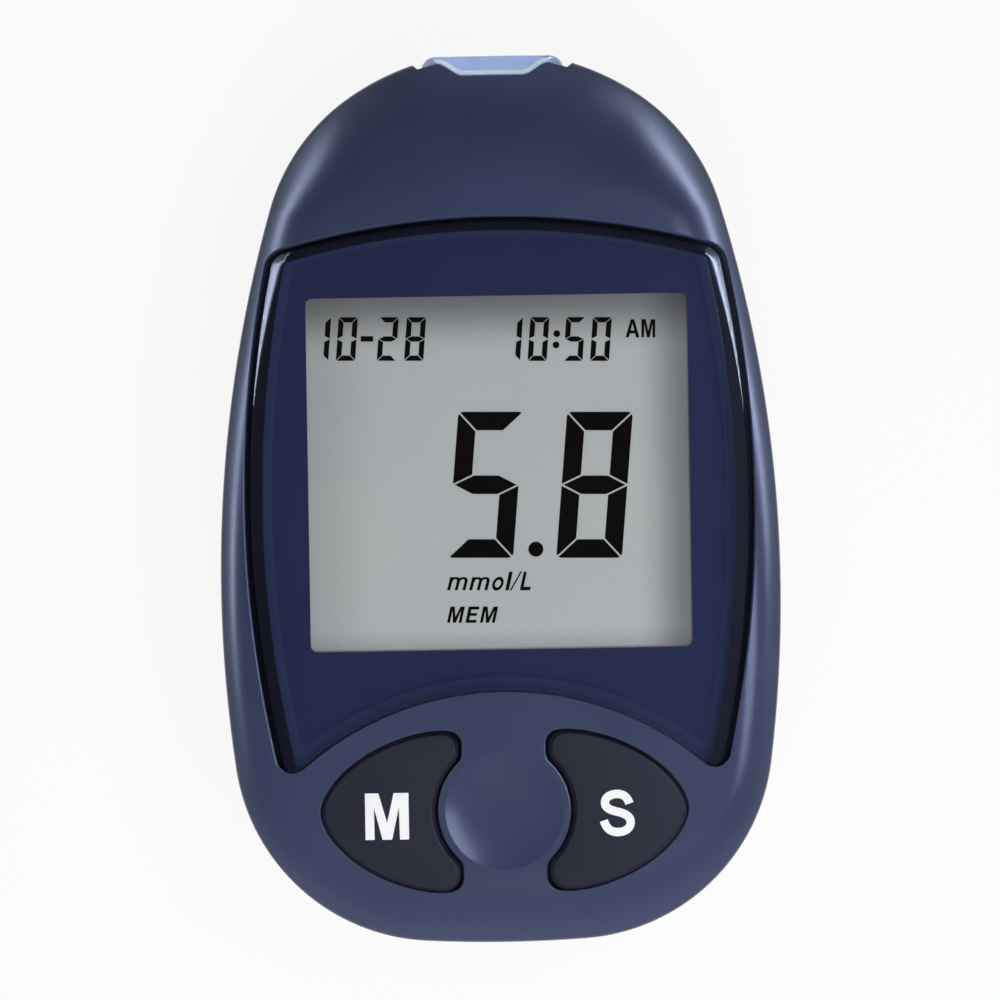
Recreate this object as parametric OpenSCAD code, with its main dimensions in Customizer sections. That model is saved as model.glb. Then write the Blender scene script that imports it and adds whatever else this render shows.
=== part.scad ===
// Hand-held blood glucose meter, lying on its back.
// +Z leaves the display face, +Y points to the strip port, and the origin is the centre of the
// footprint on the flat back. Sizes are millimetres, bearings are degrees clockwise from +Y.

/* [Body] */
// Overall length, from the foot to the face of the strip port
body_l = 88.6; // [80:0.1:100]
// Overall width at the widest level
body_w = 56; // [50:0.5:62]
// Height of the parting plane between the two shells
split_z = 9; // [8.2:0.1:9.8]
// Radius of the shoulders
shoulder_r = 20.4; // [18.4:0.2:22.4]
// How far the shoulders lie inside the widest level
shoulder_in = 4.66; // [4:0.02:6]
// Bearing at which the arc over the head passes into a shoulder
head_arc = 33.4; // [28:0.2:38]
// Radius of the corners at the foot
foot_r = 20.2; // [18.2:0.2:22]
// How far the corners at the foot lie inside the widest level
foot_in = 1.04; // [0.8:0.02:1.6]
// Half angle of the shallow arc across the foot
foot_arc = 3.53; // [2.5:0.01:5]
// Distance of the port's flat face behind the apex of the head arc
nose_cut = 0.5; // [0.3:0.1:0.8]
// Radius of the front's crown across the body
crown_rx = 400; // [300:10:700]
// Radius of the front's crown along the body
crown_ry = 900; // [600:10:1500]

/* [Shell edges] */
// Wall thickness of both shells
wall_t = 1.6; // [1.4:0.05:1.9]
// Plan width of the front's rounded edge along the sides
side_edge = 3.6; // [3:0.1:4.4]
// Plan width of the front's rounded edge over the head
head_edge = 12.8; // [11:0.1:14]
// Plan width of the front's rounded edge at the foot
foot_edge = 7; // [5.5:0.1:8]
// Height of the front's rounded edge along the sides
side_drop = 4.2; // [3.4:0.1:5]
// Height of the front's rounded edge over the head
head_drop = 10.6; // [9:0.1:11]
// Height of the front's rounded edge at the foot
foot_drop = 6.5; // [5.5:0.1:8]
// Plan width of the back's rounded edge along the sides and the foot
back_edge = 8; // [6.5:0.1:9.5]
// Plan width of the back's rounded edge over the head
back_head_edge = 10; // [8.5:0.1:11.5]

/* [Window] */
// Width of the housing's rim beside the window at its widest
rim_w = 2.65; // [2.3:0.05:3.2]
// Distance from the port's face to the top of the window
window_top_at = 16.1; // [15:0.1:18]
// How far each side of the window runs in, from its widest level to its upper corner
window_top_in = 3.53; // [3:0.01:4.5]
// Distance from the foot to the top of the arched lower edge
window_foot_at = 25.05; // [24:0.05:27]
// Distance from the foot to the lower corners
window_corner_at = 15.85; // [14.5:0.05:17]
// How far each side of the window runs in, from its widest level to its lower corner
window_corner_in = 3.39; // [3:0.01:4.2]
// Radius of the window's top edge
window_top_r = 78; // [68:0.5:90]
// Radius of the upper corners
window_top_corner = 2.2; // [1.6:0.1:3]
// Radius of the lower corners
window_foot_corner = 1.5; // [1:0.1:2]
// Thickness of the window at its centre
window_t = 3; // [2.7:0.05:3.5]
// Width of the bevel along the sides
bevel_w = 1.65; // [1.3:0.05:2]
// Width of the bevel along the top
bevel_top_w = 1.3; // [1:0.05:1.6]
// Height of the bevel
bevel_h = 1.1; // [0.8:0.05:1.4]
// Width of the mask's border at each side of the display
border_side = 6.25; // [5.5:0.05:7.5]
// Width of the mask's border above the display
border_top = 7.85; // [7:0.05:9]
// Width of the mask's border below the display
border_foot = 4.2; // [3.6:0.05:5.5]
// Corner radius of the display's opening in the mask
aperture_r = 0.7; // [0.4:0.1:1.5]

/* [Keys] */
// Distance from the foot to the centre of the keypad
pad_at = 13.15; // [12.4:0.05:14]
// Distance of each key's centre from the middle of the body
key_x = 6.4; // [5.8:0.1:7]
// Half length of a key across the body
key_a = 11.55; // [10.5:0.05:12]
// Half height of a key along the body
key_b = 7.62; // [7:0.02:8]
// Power of the curve of a key's outer edge
key_power = 1.7; // [1.6:0.05:2.1]
// Radius of the hollow inner edge, about the dimple's centre
key_hollow_r = 7.3; // [6.9:0.05:7.9]
// Distance of the lobes from the middle of the body
key_lobe_x = 4.85; // [4.4:0.05:5.4]
// Radius of the lobes
key_tip_r = 1.4; // [1:0.1:1.6]
// Height of a key above the housing around it
key_proud = 0.15; // [0:0.05:0.4]
// Travel of a key
key_travel = 0.5; // [0.3:0.05:0.5]
// Radius of the thumb dimple
dimple_r = 5.95; // [5.2:0.05:6.2]
// Depth of the thumb dimple
dimple_d = 0.9; // [0.6:0.05:1.2]

/* [Strip port] */
// Width of the collar
port_w = 14.2; // [13:0.1:15.5]
// Length of the collar
port_l = 8; // [7.2:0.1:9]
// Height of the collar
port_h = 5; // [4.7:0.1:5.4]
// Radius of the collar's front corners
port_corner = 1.4; // [0.9:0.1:1.8]
// Width of the slot for a test strip
slot_w = 7.4; // [6.2:0.1:8.2]
// Height of the slot
slot_h = 1.2; // [1:0.05:1.4]
// Thickness of the collar's floor under the slot
port_floor_t = 3; // [2.6:0.1:3.3]
// Depth of the scoop in the housing, measured from the port's face
scoop_d = 1.9; // [1.5:0.05:2.2]
// Width of the scoop's flat bottom
scoop_w = 6; // [5.2:0.1:7]

/* [Batteries] */
// Diameter of an AAA cell
cell_d = 10.5; // [9.8:0.05:11.2]
// Length of an AAA cell over its button
cell_l = 44.5; // [42:0.1:47]
// Distance from the foot to the battery bay
bay_at = 8.8; // [8.2:0.1:9.8]
// Thickness of the battery door
door_t = 1.6; // [1.4:0.05:2]
// Width of the battery door
door_w = 25; // [24:0.1:26]

/* [Inside] */
// Thickness of the circuit board
board_t = 1; // [0.8:0.05:1.6]
// Thickness of each glass of the display
glass_t = 0.7; // [0.5:0.05:1.1]
// Distance from the port's face to the upper screws
upper_screw_at = 15.1; // [14:0.1:16]
// Distance of the upper screws inside the widest level
upper_screw_in = 12.5; // [11.5:0.1:13.5]
// Distance from the foot to the lower screws
lower_screw_at = 22; // [21:0.1:23]
// Distance of the lower screws inside the widest level
lower_screw_in = 8.5; // [7.8:0.1:9.3]
// Radius of the screws' threads
screw_r = 1.1; // [0.9:0.05:1.3]

/* [Hidden] */

$fn = 48;
over = 1;              // how far a cut runs past the face that it opens
fit = 0.1;             // clearance between seated pieces
far = 60;              // longer than any half size of the body

// Levels along the body
half_w = body_w / 2;
foot_y = -body_l / 2;
face_y = body_l / 2;
apex_y = face_y + nose_cut;
pad_y = foot_y + pad_at;
window_x = half_w - rim_w;
window_top_y = face_y - window_top_at;
aperture_y0 = foot_y + window_foot_at + border_foot;
aperture_y1 = window_top_y - border_top;
aperture_w = 2 * (window_x - border_side);
aperture_h = aperture_y1 - aperture_y0;
mid_y = (aperture_y0 + aperture_y1) / 2;

// Levels from the back up to the front: the cells, the board, the display and the window
cell_gap = 0.2;
cell_r = cell_d / 2;
cell_z = door_t + cell_gap + cell_r;
bay_top = cell_z + cell_r + fit;
tub_t = 0.9;
tub_top = bay_top + tub_t;
board_gap = 0.2;
board_z = tub_top + board_gap;
board_top = board_z + board_t;
frame_shelf_t = 1.4;
polarizer_t = 0.2;
rear_polarizer_z = board_top + frame_shelf_t;
rear_glass_z = rear_polarizer_z + polarizer_t;
front_glass_z = rear_glass_z + glass_t;
polarizer_z = front_glass_z + glass_t;
mask_t = 0.2;
ledge_z = polarizer_z + polarizer_t + fit;
seat_z = ledge_z + mask_t;
body_t = seat_z + window_t;
deck_t = 1.2;
deck_z = ledge_z - deck_t;

// Plan of the display's glass
glass_side = 1.9;      // glass beyond the aperture at each side
glass_top = 2.2;       // glass beyond the aperture at the top
glass_foot = 3.2;      // front glass beyond the aperture at its contact ledge
ledge_w = 2.5;         // the front glass's ledge past the rear glass
polarizer_in = 0.4;    // the polarizers' edges inside the glass
glass_w = aperture_w + 2 * glass_side;
glass_y0 = aperture_y0 - glass_foot;
glass_y1 = aperture_y1 + glass_top;
frame_rim = 1.2;
frame_z1 = deck_z - fit;

// ---------------------------------------------------------------- plan curves

function unit(b) = [sin(b), cos(b)];
function bearing(v) = atan2(v[0], v[1]);
function flip(p) = [-p[0], p[1]];
function reversed(v) = [for (i = [len(v) - 1:-1:0]) v[i]];
function ease(t) = let (u = max(0, min(1, t))) u * u * (3 - 2 * u);

// The crossing of two circles that lies on the given side of the line between their centres.
function meet(c1, r1, c2, r2, side) =
    let (
        d = norm(c2 - c1),
        along = (r1 * r1 - r2 * r2 + d * d) / (2 * d),
        up = sqrt(r1 * r1 - along * along),
        u = (c2 - c1) / d
    )
    c1 + along * u + side * up * [-u[1], u[0]];

// The circle that touches the line x = line from inside and holds two smaller circles against
// its own inner side, as [centre, radius].
function side_arc(line, top, top_r, low, low_r) =
    let (
        top_gap = line - top[0] - top_r,
        low_gap = line - low[0] - low_r,
        p = 1 / (2 * top_gap),
        q = 1 / (2 * low_gap),
        b = 2 * (q * low[1] - p * top[1]),
        c = p * top[1] * top[1] - q * low[1] * low[1]
            + top_gap / 2 + top_r - low_gap / 2 - low_r,
        y = 2 * c / (sqrt(b * b - 4 * (p - q) * c) - b),
        r = p * (y - top[1]) * (y - top[1]) + top_gap / 2 + top_r
    )
    [[line - r, y], r];

// The body's outline is a chain of tangent arcs, each [centre, radius, first, last bearing, steps].
head_r = shoulder_r + (half_w - shoulder_in - shoulder_r) / sin(head_arc);
head_c = [0, apex_y - head_r];
shoulder_c = head_c + (head_r - shoulder_r) * unit(head_arc);
base_r = foot_r + (half_w - foot_in - foot_r) / sin(foot_arc);
base_c = [0, foot_y + base_r];
foot_c = base_c + (base_r - foot_r) * unit(180 - foot_arc);
body_side = side_arc(half_w, shoulder_c, shoulder_r, foot_c, foot_r);
side_c = body_side[0];
side_r = body_side[1];
shoulder_end = bearing(shoulder_c - side_c);
side_end = bearing(foot_c - side_c);
body_arcs = [
    [head_c, head_r, 0, head_arc, 9],
    [shoulder_c, shoulder_r, head_arc, shoulder_end, 9],
    [side_c, side_r, shoulder_end, side_end, 10],
    [foot_c, foot_r, side_end, 180 - foot_arc, 15],
    [base_c, base_r, 180 - foot_arc, 180, 2],
];

// Stations go once round, clockwise: [centre, radius, bearing].
right_stations = [
    for (a = body_arcs) for (k = [0:a[4] - 1]) [a[0], a[1], a[2] + (a[3] - a[2]) * k / a[4]],
    [base_c, base_r, 180],
];
left_stations = [
    for (i = [len(right_stations) - 2:-1:1])
        let (s = right_stations[i]) [flip(s[0]), s[1], -s[2]],
];
stations = concat(right_stations, left_stations);

function spot(s, inset) = s[0] + (s[1] - inset) * unit(s[2]);

// A size that changes smoothly from the head, over the sides, to the foot.
head_blend = [24, 74];
foot_blend = [106, 160];
function round_body(b, side, head, foot) =
    side
    + (head - side) * ease((head_blend[1] - abs(b)) / (head_blend[1] - head_blend[0]))
    + (foot - side) * ease((abs(b) - foot_blend[0]) / (foot_blend[1] - foot_blend[0]));

module plan(side, head, foot) {
    polygon([for (s = stations) spot(s, round_body(s[2], side, head, foot))]);
}

// The window's outline: two side arcs, the top arc and the hollow foot arc, joined by corner arcs.
window_corner_x = window_x - window_corner_in;
window_corner_y = foot_y + window_corner_at;
window_side = side_arc(window_x, [window_x - window_top_in, window_top_y], 0,
    [window_corner_x, window_corner_y], 0);
window_side_c = window_side[0];
window_side_r = window_side[1];
window_top_c = [0, window_top_y - window_top_r];
arch_rise = window_foot_at - window_corner_at;
window_foot_r = (window_corner_x * window_corner_x + arch_rise * arch_rise) / (2 * arch_rise);
window_foot_c = [0, foot_y + window_foot_at - window_foot_r];
least_corner = 0.4;    // no corner of the window is sharper than this

// Inset by its own amount at the sides, the top and the foot.
function window_plan(side, top, foot) =
    let (
        rs = window_side_r - side,
        rt = window_top_r - top,
        rf = window_foot_r + foot,
        ct = max(least_corner, window_top_corner - side),
        cf = max(least_corner, window_foot_corner - side),
        top_corner = meet(window_top_c, rt - ct, window_side_c, rs - ct, -1),
        foot_corner = meet(window_side_c, rs - cf, window_foot_c, rf + cf, 1),
        top_end = bearing(top_corner - window_top_c),
        side_start = bearing(top_corner - window_side_c),
        side_end = bearing(foot_corner - window_side_c),
        foot_start = bearing(foot_corner - window_foot_c),
        half = [
            for (k = [0:11]) window_top_c + rt * unit(top_end * k / 12),
            for (k = [0:5]) top_corner + ct * unit(top_end + (side_start - top_end) * k / 6),
            for (k = [0:11])
                window_side_c + rs * unit(side_start + (side_end - side_start) * k / 12),
            for (k = [0:7])
                foot_corner + cf * unit(side_end + (180 + foot_start - side_end) * k / 8),
            for (k = [0:12]) window_foot_c + rf * unit(foot_start * (12 - k) / 12),
        ]
    )
    concat(half, [for (i = [len(half) - 2:-1:1]) flip(half[i])]);

// One key's edge. It grows by its own amount at the outer edge and at the hollow inner edge.
module key_plan(outer, inner) {
    offset(r = key_tip_r, $fn = 24) offset(delta = -key_tip_r) difference() {
        intersection() {
            translate([key_x, 0]) polygon([
                for (k = [0:39])
                    let (c = cos(k * 9), s = sin(k * 9))
                    [
                        (key_a + outer) * sign(c) * pow(abs(c), 2 / key_power),
                        (key_b + outer) * sign(s) * pow(abs(s), 2 / key_power),
                    ],
            ]);
            translate([key_lobe_x - inner, -far]) square([2 * far, 2 * far]);
        }
        circle(r = key_hollow_r - inner);
    }
}

// ---------------------------------------------------------------- solids from rings

// A closed solid through rings of equally many points, listed clockwise and from low to high.
module loft(rings, tip = undef) {
    n = len(rings[0]);
    last = (len(rings) - 1) * n;
    points = concat([for (r = rings) for (p = r) p], is_undef(tip) ? [] : [tip]);
    sides = [
        for (i = [0:len(rings) - 2]) for (j = [0:n - 1])
            let (a = i * n + j, b = i * n + (j + 1) % n)
            each [[a, b, b + n], [a, b + n, a + n]],
    ];
    floor_face = [for (j = [n - 1:-1:0]) j];
    top_faces = is_undef(tip)
        ? [[for (j = [0:n - 1]) last + j]]
        : [for (j = [0:n - 1]) [last + j, last + (j + 1) % n, last + n]];
    polyhedron(points, concat([floor_face], sides, top_faces), convexity = 8);
}

function crown(p) = body_t - p[0] * p[0] / (2 * crown_rx) - p[1] * p[1] / (2 * crown_ry);
edge_draft = 0.2;      // lean of the front's upright wall
least_rise = 0.2;      // the front's edge starts at least this far above the parting plane

// A point on the front's rounded edge, a being 0 where it leaves the wall and 90 on the crown.
function front_point(s, a, inset, ceiling) =
    let (
        p = spot(s, inset + edge_draft
            + round_body(s[2], side_edge, head_edge, foot_edge) * (1 - cos(a))),
        drop = round_body(s[2], side_drop, head_drop, foot_drop),
        z = crown(p) - inset - drop * (1 - sin(a))
    )
    [p[0], p[1], max(split_z + least_rise, min(z, ceiling))];

function level_ring(inset, z) = [for (s = stations) let (p = spot(s, inset)) [p[0], p[1], z]];

// The front's crown inside its edge, drawn in towards the middle of the display by a share.
function crown_ring(share) = [
    for (s = stations)
        let (
            e = front_point(s, 90, 0, far),
            p = [e[0] * share, mid_y + (e[1] - mid_y) * share]
        )
        [p[0], p[1], crown(p)],
];

module front_outside() {
    loft(
        concat(
            [level_ring(0, split_z)],
            [for (a = [0:15:90]) [for (s = stations) front_point(s, a, 0, far)]],
            [crown_ring(0.7), crown_ring(0.35)]
        ),
        [0, mid_y, crown([0, mid_y])]
    );
}

module front_inside() {
    loft(concat(
        [level_ring(wall_t, split_z - over)],
        [for (a = [0:25:75]) [for (s = stations) front_point(s, a, wall_t, deck_z)]]
    ));
}

function back_point(s, a, inset, floor_z) =
    let (p = spot(s, inset + round_body(s[2], back_edge, back_head_edge, back_edge) * (1 - cos(a))))
    [p[0], p[1], floor_z + (split_z - floor_z) * (1 - sin(a))];

module back_outside() {
    loft([for (a = [90:-15:0]) [for (s = stations) back_point(s, a, 0, 0)]]);
}

module back_inside() {
    loft(concat(
        [for (a = [90:-22.5:0]) [for (s = stations) back_point(s, a, wall_t, door_t)]],
        [level_ring(wall_t, split_z + over)]
    ));
}

module box(x0, x1, y0, y1, z0, z1) {
    translate([x0, y0, z0]) cube([x1 - x0, y1 - y0, z1 - z0]);
}

// A box that is symmetric across the body.
module wide_box(w, y0, y1, z0, z1) {
    box(-w / 2, w / 2, y0, y1, z0, z1);
}

module post(p, r, z0, z1) {
    translate([p[0], p[1], z0]) cylinder(r = r, h = z1 - z0);
}

// ---------------------------------------------------------------- screws and pillars

screw_spots = [
    for (s = [-1, 1]) each [
        [s * (half_w - upper_screw_in), face_y - upper_screw_at],
        [s * (half_w - lower_screw_in), foot_y + lower_screw_at],
    ],
];
screw_fit = 0.03;
screw_head_r = 2;
screw_head_h = 1.5;
screw_head_gap = 0.2;
screw_seat_z = 6;
screw_end_gap = 0.3;
screw_short = 0.2;     // the screws end this far under the deck
screw_tip_z = deck_z - screw_short;
drive_l = 2.2;
drive_w = 0.5;
drive_d = 0.8;
boss_r = 2.5;
pillar_r = 3.5;
pillar_t = 1.5;        // the pillar over the seat of a screw's head

module housing_screws() {
    color("silver") for (p = screw_spots) difference() {
        union() {
            post(p, screw_head_r, screw_seat_z - screw_head_h, screw_seat_z);
            post(p, screw_r, screw_seat_z - screw_head_h, screw_tip_z);
        }
        for (turn = [0, 90]) translate([p[0], p[1], screw_seat_z - screw_head_h])
            rotate(turn) cube([drive_l, drive_w, 2 * drive_d], center = true);
    }
}

// ---------------------------------------------------------------- strip port

port_y0 = face_y - port_l;
slot_drop = 3.1;       // the slot's floor under the board
slot_z = board_z - slot_drop;
port_z = slot_z - port_floor_t;
port_top = port_z + port_h;
horn_back = 0.7;       // the housing's horns beside the scoop, behind the port's face
horn_in = 1.5;         // and inside the collar's sides
notch_back = 1.2;      // the low point of the notch beside each horn, behind the port's face
notch_out = 0.4;       // and outside the collar's sides
notch_w = 1.1;
notch_rise = 0.9;
scoop_y = face_y - scoop_d;
horn_y = face_y - horn_back;
notch_y = face_y - notch_back;
port_flange_w = 1.1;   // the collar's shoulder at each side
port_flange_l = 1.5;
port_flange_at = 1.8;
port_flange_y = port_y0 + port_flange_at;
port_lip_t = 0.35;
port_lip_h = 1.2;
lip_end = 0.3;         // the lip stops this far behind the horns
port_lip_top = port_top + port_lip_h;
trough_side = 0.5;     // the trough beyond the slot at each side
funnel_l = 1.2;
funnel_w = 1;
funnel_h = 0.6;

// The housing's edge around the port, open towards the head: notch, horn and scoop on each side.
module scoop_plan() {
    flank_w = port_w / 2 - horn_in - scoop_w / 2;
    flank_steps = 5;
    notch_x = port_w / 2 + notch_out;
    right = [
        for (k = [0:flank_steps])
            let (t = k / flank_steps)
            [scoop_w / 2 + flank_w * t, scoop_y + (horn_y - scoop_y) * ease(t)],
        [notch_x, notch_y],
        [notch_x + notch_w, notch_y + notch_rise],
        [notch_x + notch_w, apex_y + over],
    ];
    polygon(concat(right, [for (p = reversed(right)) flip(p)]));
}

module port_plan(grow) {
    corner = [port_w / 2 - port_corner, face_y - port_corner];
    right = [for (b = [0:18:90]) corner + (port_corner + grow) * unit(b)];
    polygon(concat(
        right,
        [[port_w / 2 + grow, port_y0 - grow], [-port_w / 2 - grow, port_y0 - grow]],
        [for (p = reversed(right)) flip(p)]
    ));
}

// What the port takes up in both shells.
module port_space(grow) {
    translate([0, 0, port_z - grow]) linear_extrude(port_h + 2 * grow) port_plan(grow);
    wide_box(port_w + 2 * (port_flange_w + grow), port_flange_y - grow,
        port_flange_y + port_flange_l + grow, port_z - grow, port_top + grow);
}

module strip_port() {
    color([0.62, 0.72, 0.86]) difference() {
        union() {
            port_space(0);
            translate([0, 0, port_top - fit]) linear_extrude(port_lip_top - port_top + fit)
                intersection() {
                    port_plan(0);
                    difference() {
                        offset(delta = -fit) scoop_plan();
                        offset(delta = -fit - port_lip_t) scoop_plan();
                        translate([-far, horn_y - lip_end]) square([2 * far, far]);
                    }
                }
        }
        wide_box(slot_w, port_y0 - over, face_y + over, slot_z, slot_z + slot_h);
        wide_box(slot_w + 2 * trough_side, scoop_y + port_lip_t + fit, face_y + over,
            slot_z, port_top + over);
        wide_box(slot_w + 2 * funnel_w, port_y0 - over, port_y0 + funnel_l,
            slot_z - funnel_h, slot_z + slot_h + funnel_h);
    }
}

connector_w = 11.2;
connector_l = 9.8;
connector_h = 4.1;
connector_y1 = port_y0 - fit;
connector_y0 = connector_y1 - connector_l;
strip_stop_t = 2;      // the wall that stops a test strip
strip_guide = 0.1;     // the connector's slot is narrower than the port's at each side
contact_n = 5;
contact_pitch = 1.2;
contact_w = 0.5;
contact_t = 0.15;
contact_up = 0.45;     // a contact's back over the slot
contact_dip = 0.5;     // its bow over the slot's floor
contact_end = 1.4;     // its tip behind the connector's mouth
contact_tail = 1.6;    // its tail past the connector's back
bow_l = 2.5;
bow_flat = 0.7;
channel_h = 0.7;
channel_end = 1;
contact_spots = [for (i = [0:contact_n - 1]) (i - (contact_n - 1) / 2) * contact_pitch];

module strip_connector() {
    color([0.16, 0.16, 0.17]) difference() {
        wide_box(connector_w, connector_y0, connector_y1, board_z - connector_h, board_z);
        wide_box(slot_w - 2 * strip_guide, connector_y0 + strip_stop_t, connector_y1 + over,
            slot_z, slot_z + slot_h);
        for (x = contact_spots) contact_channel(x);
    }
}

module contact_channel(x) {
    box(x - contact_w / 2 - fit, x + contact_w / 2 + fit, connector_y0 - over,
        connector_y1 - channel_end, slot_z + slot_h - fit, slot_z + slot_h + channel_h);
}

// Each contact runs along its channel, bows down into the slot and turns up to the board.
module strip_contacts() {
    top = slot_z + slot_h + contact_up;
    dip = slot_z + contact_dip;
    y1 = connector_y1 - contact_end;
    y0 = connector_y0 - contact_tail;
    bow_y = y1 - 2 * bow_l - bow_flat;
    low = [
        [y1, top - contact_t], [y1 - bow_l, dip], [y1 - bow_l - bow_flat, dip],
        [bow_y, top - contact_t], [y0, top - contact_t], [y0, board_z],
    ];
    high = [
        [y0 + contact_t, board_z], [y0 + contact_t, top], [bow_y, top],
        [y1 - bow_l - bow_flat, dip + contact_t], [y1 - bow_l, dip + contact_t], [y1, top],
    ];
    color("gold") for (x = contact_spots) translate([x - contact_w / 2, 0, 0])
        rotate([90, 0, 90]) linear_extrude(contact_w) polygon(concat(low, high));
}

// ---------------------------------------------------------------- batteries and their bay

plate_t = 0.4;
spring_l = 3.6;
cell_x = cell_r + cell_gap;
button_l = 0.8;
button_r = 1.9;
bay_y0 = foot_y + bay_at;
bay_l = cell_l + 2 * plate_t + spring_l + fit;
bay_y1 = bay_y0 + bay_l;
bay_half = cell_x + cell_r + cell_gap;
bay_wall = 1.3;
door_gap = 0.1;
tongue_w = 0.9;
tongue_z = 0.9;
tongue_out = 1.5;      // the tongues and rails start this far on the foot's side of the bay
tongue_y0 = bay_y0 - tongue_out;
tongue_end = 2;        // and the tongues end this far from the door's end
tongue_skim = 0.01;    // their tops lie just under the door's inner face
door_lap = 2.5;        // the door's reach past the bay
door_y1 = bay_y1 + door_lap;
door_drop = 2.2;       // the door's end at the foot, under the parting plane
door_end_z = split_z - door_drop;
door_bend_y = bay_y0 + 2.5;      // the door's inside starts to curve up on the foot's side of this
door_bend_z = door_t + 1;        // and stays under this level until it is past the bay
nose_flat = 0.3;                 // the back shell's nose, flat under the port, behind its face
rail_wall = 1.1;
rail_w = door_w / 2 + tongue_w + door_gap + rail_wall;
rail_t = 1.3;
rail_foot = 5;
rail_head = 1.2;
end_wall = 1.3;
end_roof = 1.4;
port_wall = 2.3;
port_roof_at = 2.6;
plate_w = 6;
plate_half = 3.6;
plate_z0 = cell_z - plate_half;
plate_z1 = cell_z + plate_half;
tail_w = 3;
grip_n = 5;
grip_pitch = 2;
grip_w = 12;
grip_l = 1;
grip_d = 0.4;
grip_at = 5;

module cell(x, up) {
    translate([x, 0, cell_z]) rotate([up > 0 ? -90 : 90, 0, 0]) {
        cylinder(r = cell_r, h = cell_l - button_l);
        cylinder(r = button_r, h = cell_l);
    }
}

// The left cell points its button to the head, the right cell to the foot.
module left_battery() {
    color([0.2, 0.22, 0.25]) translate([0, bay_y0 + plate_t + spring_l, 0]) cell(-cell_x, 1);
}

module right_battery() {
    color([0.2, 0.22, 0.25])
        translate([0, bay_y0 + plate_t + cell_l + fit / 2, 0]) cell(cell_x, -1);
}

module battery_bridge() {
    color("gainsboro")
        wide_box(2 * cell_x + plate_w, bay_y0, bay_y0 + plate_t, plate_z0, plate_z1);
}

module end_contact(x) {
    box(x - plate_w / 2, x + plate_w / 2, bay_y1 - plate_t, bay_y1, plate_z0, plate_z1);
    box(x - tail_w / 2, x + tail_w / 2, bay_y1 - plate_t, bay_y1, plate_z1 - fit, board_z);
}

module battery_plus_contact() {
    color("gainsboro") end_contact(-cell_x);
}

module battery_minus_contact() {
    color("gainsboro") end_contact(cell_x);
}

// A tapering coil along +Z: a ring of points at each step of the helix.
module coil(r0, r1, wire_r, length, turns) {
    steps = turns * 14;
    sides = 6;
    pitch_l = length - 2 * wire_r;
    loft([
        for (i = [0:steps])
            let (
                turn = i / steps,
                r = r0 + (r1 - r0) * turn,
                out = [cos(turn * turns * 360), sin(turn * turns * 360), 0],
                c = r * out + [0, 0, wire_r + pitch_l * turn]
            )
            [for (k = [0:sides - 1])
                c + wire_r * (cos(k * 360 / sides) * out + [0, 0, sin(k * 360 / sides)])],
    ]);
}

spring_wire = 0.3;
spring_fit = 0.02;
spring_r0 = 3.1;
spring_r1 = 2.1;
spring_turns = 4;

module contact_spring(x, y, heading) {
    color("silver") translate([x, y, cell_z]) rotate([heading > 0 ? -90 : 90, 0, 0])
        translate([0, 0, spring_fit])
            coil(spring_r0, spring_r1, spring_wire, spring_l - 2 * spring_fit, spring_turns);
}

module bridge_spring() {
    contact_spring(-cell_x, bay_y0 + plate_t, 1);
}

module minus_spring() {
    contact_spring(cell_x, bay_y1 - plate_t, -1);
}

module battery_door() {
    color([0.22, 0.24, 0.36]) {
        difference() {
            intersection() {
                back_outside();
                wide_box(door_w, -far, door_y1, -over, door_end_z);
            }
            back_inside();
            for (i = [0:grip_n - 1])
                let (y = door_y1 - grip_at - i * grip_pitch)
                wide_box(grip_w, y - grip_l, y, -over, grip_d);
        }
        for (s = [-1, 1]) box(
            min(s * (door_w / 2 - fit), s * (door_w / 2 + tongue_w)),
            max(s * (door_w / 2 - fit), s * (door_w / 2 + tongue_w)),
            tongue_y0, door_y1 - tongue_end, tongue_z, door_t - tongue_skim);
    }
}

// ---------------------------------------------------------------- shells

lip_t = 0.9;
lip_h = 1;
lip_in = 0.85;

// Solid blocks inside the back shell, kept only where they lie within its skin.
module back_blocks() {
    wide_box(2 * rail_w, tongue_y0 - rail_foot, door_y1 + rail_head, 0, door_t + rail_t);
    wide_box(2 * (bay_half + bay_wall), bay_y0 - bay_wall, bay_y1 + bay_wall, 0, tub_top);
    wide_box(door_w + 2 * end_wall, foot_y, bay_y0, 0, door_end_z + end_roof);
    wide_box(port_w + 2 * port_wall, port_y0, face_y, 0, split_z);
    for (p = screw_spots) post(p, pillar_r, 0, screw_seat_z + pillar_t);
}

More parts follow.
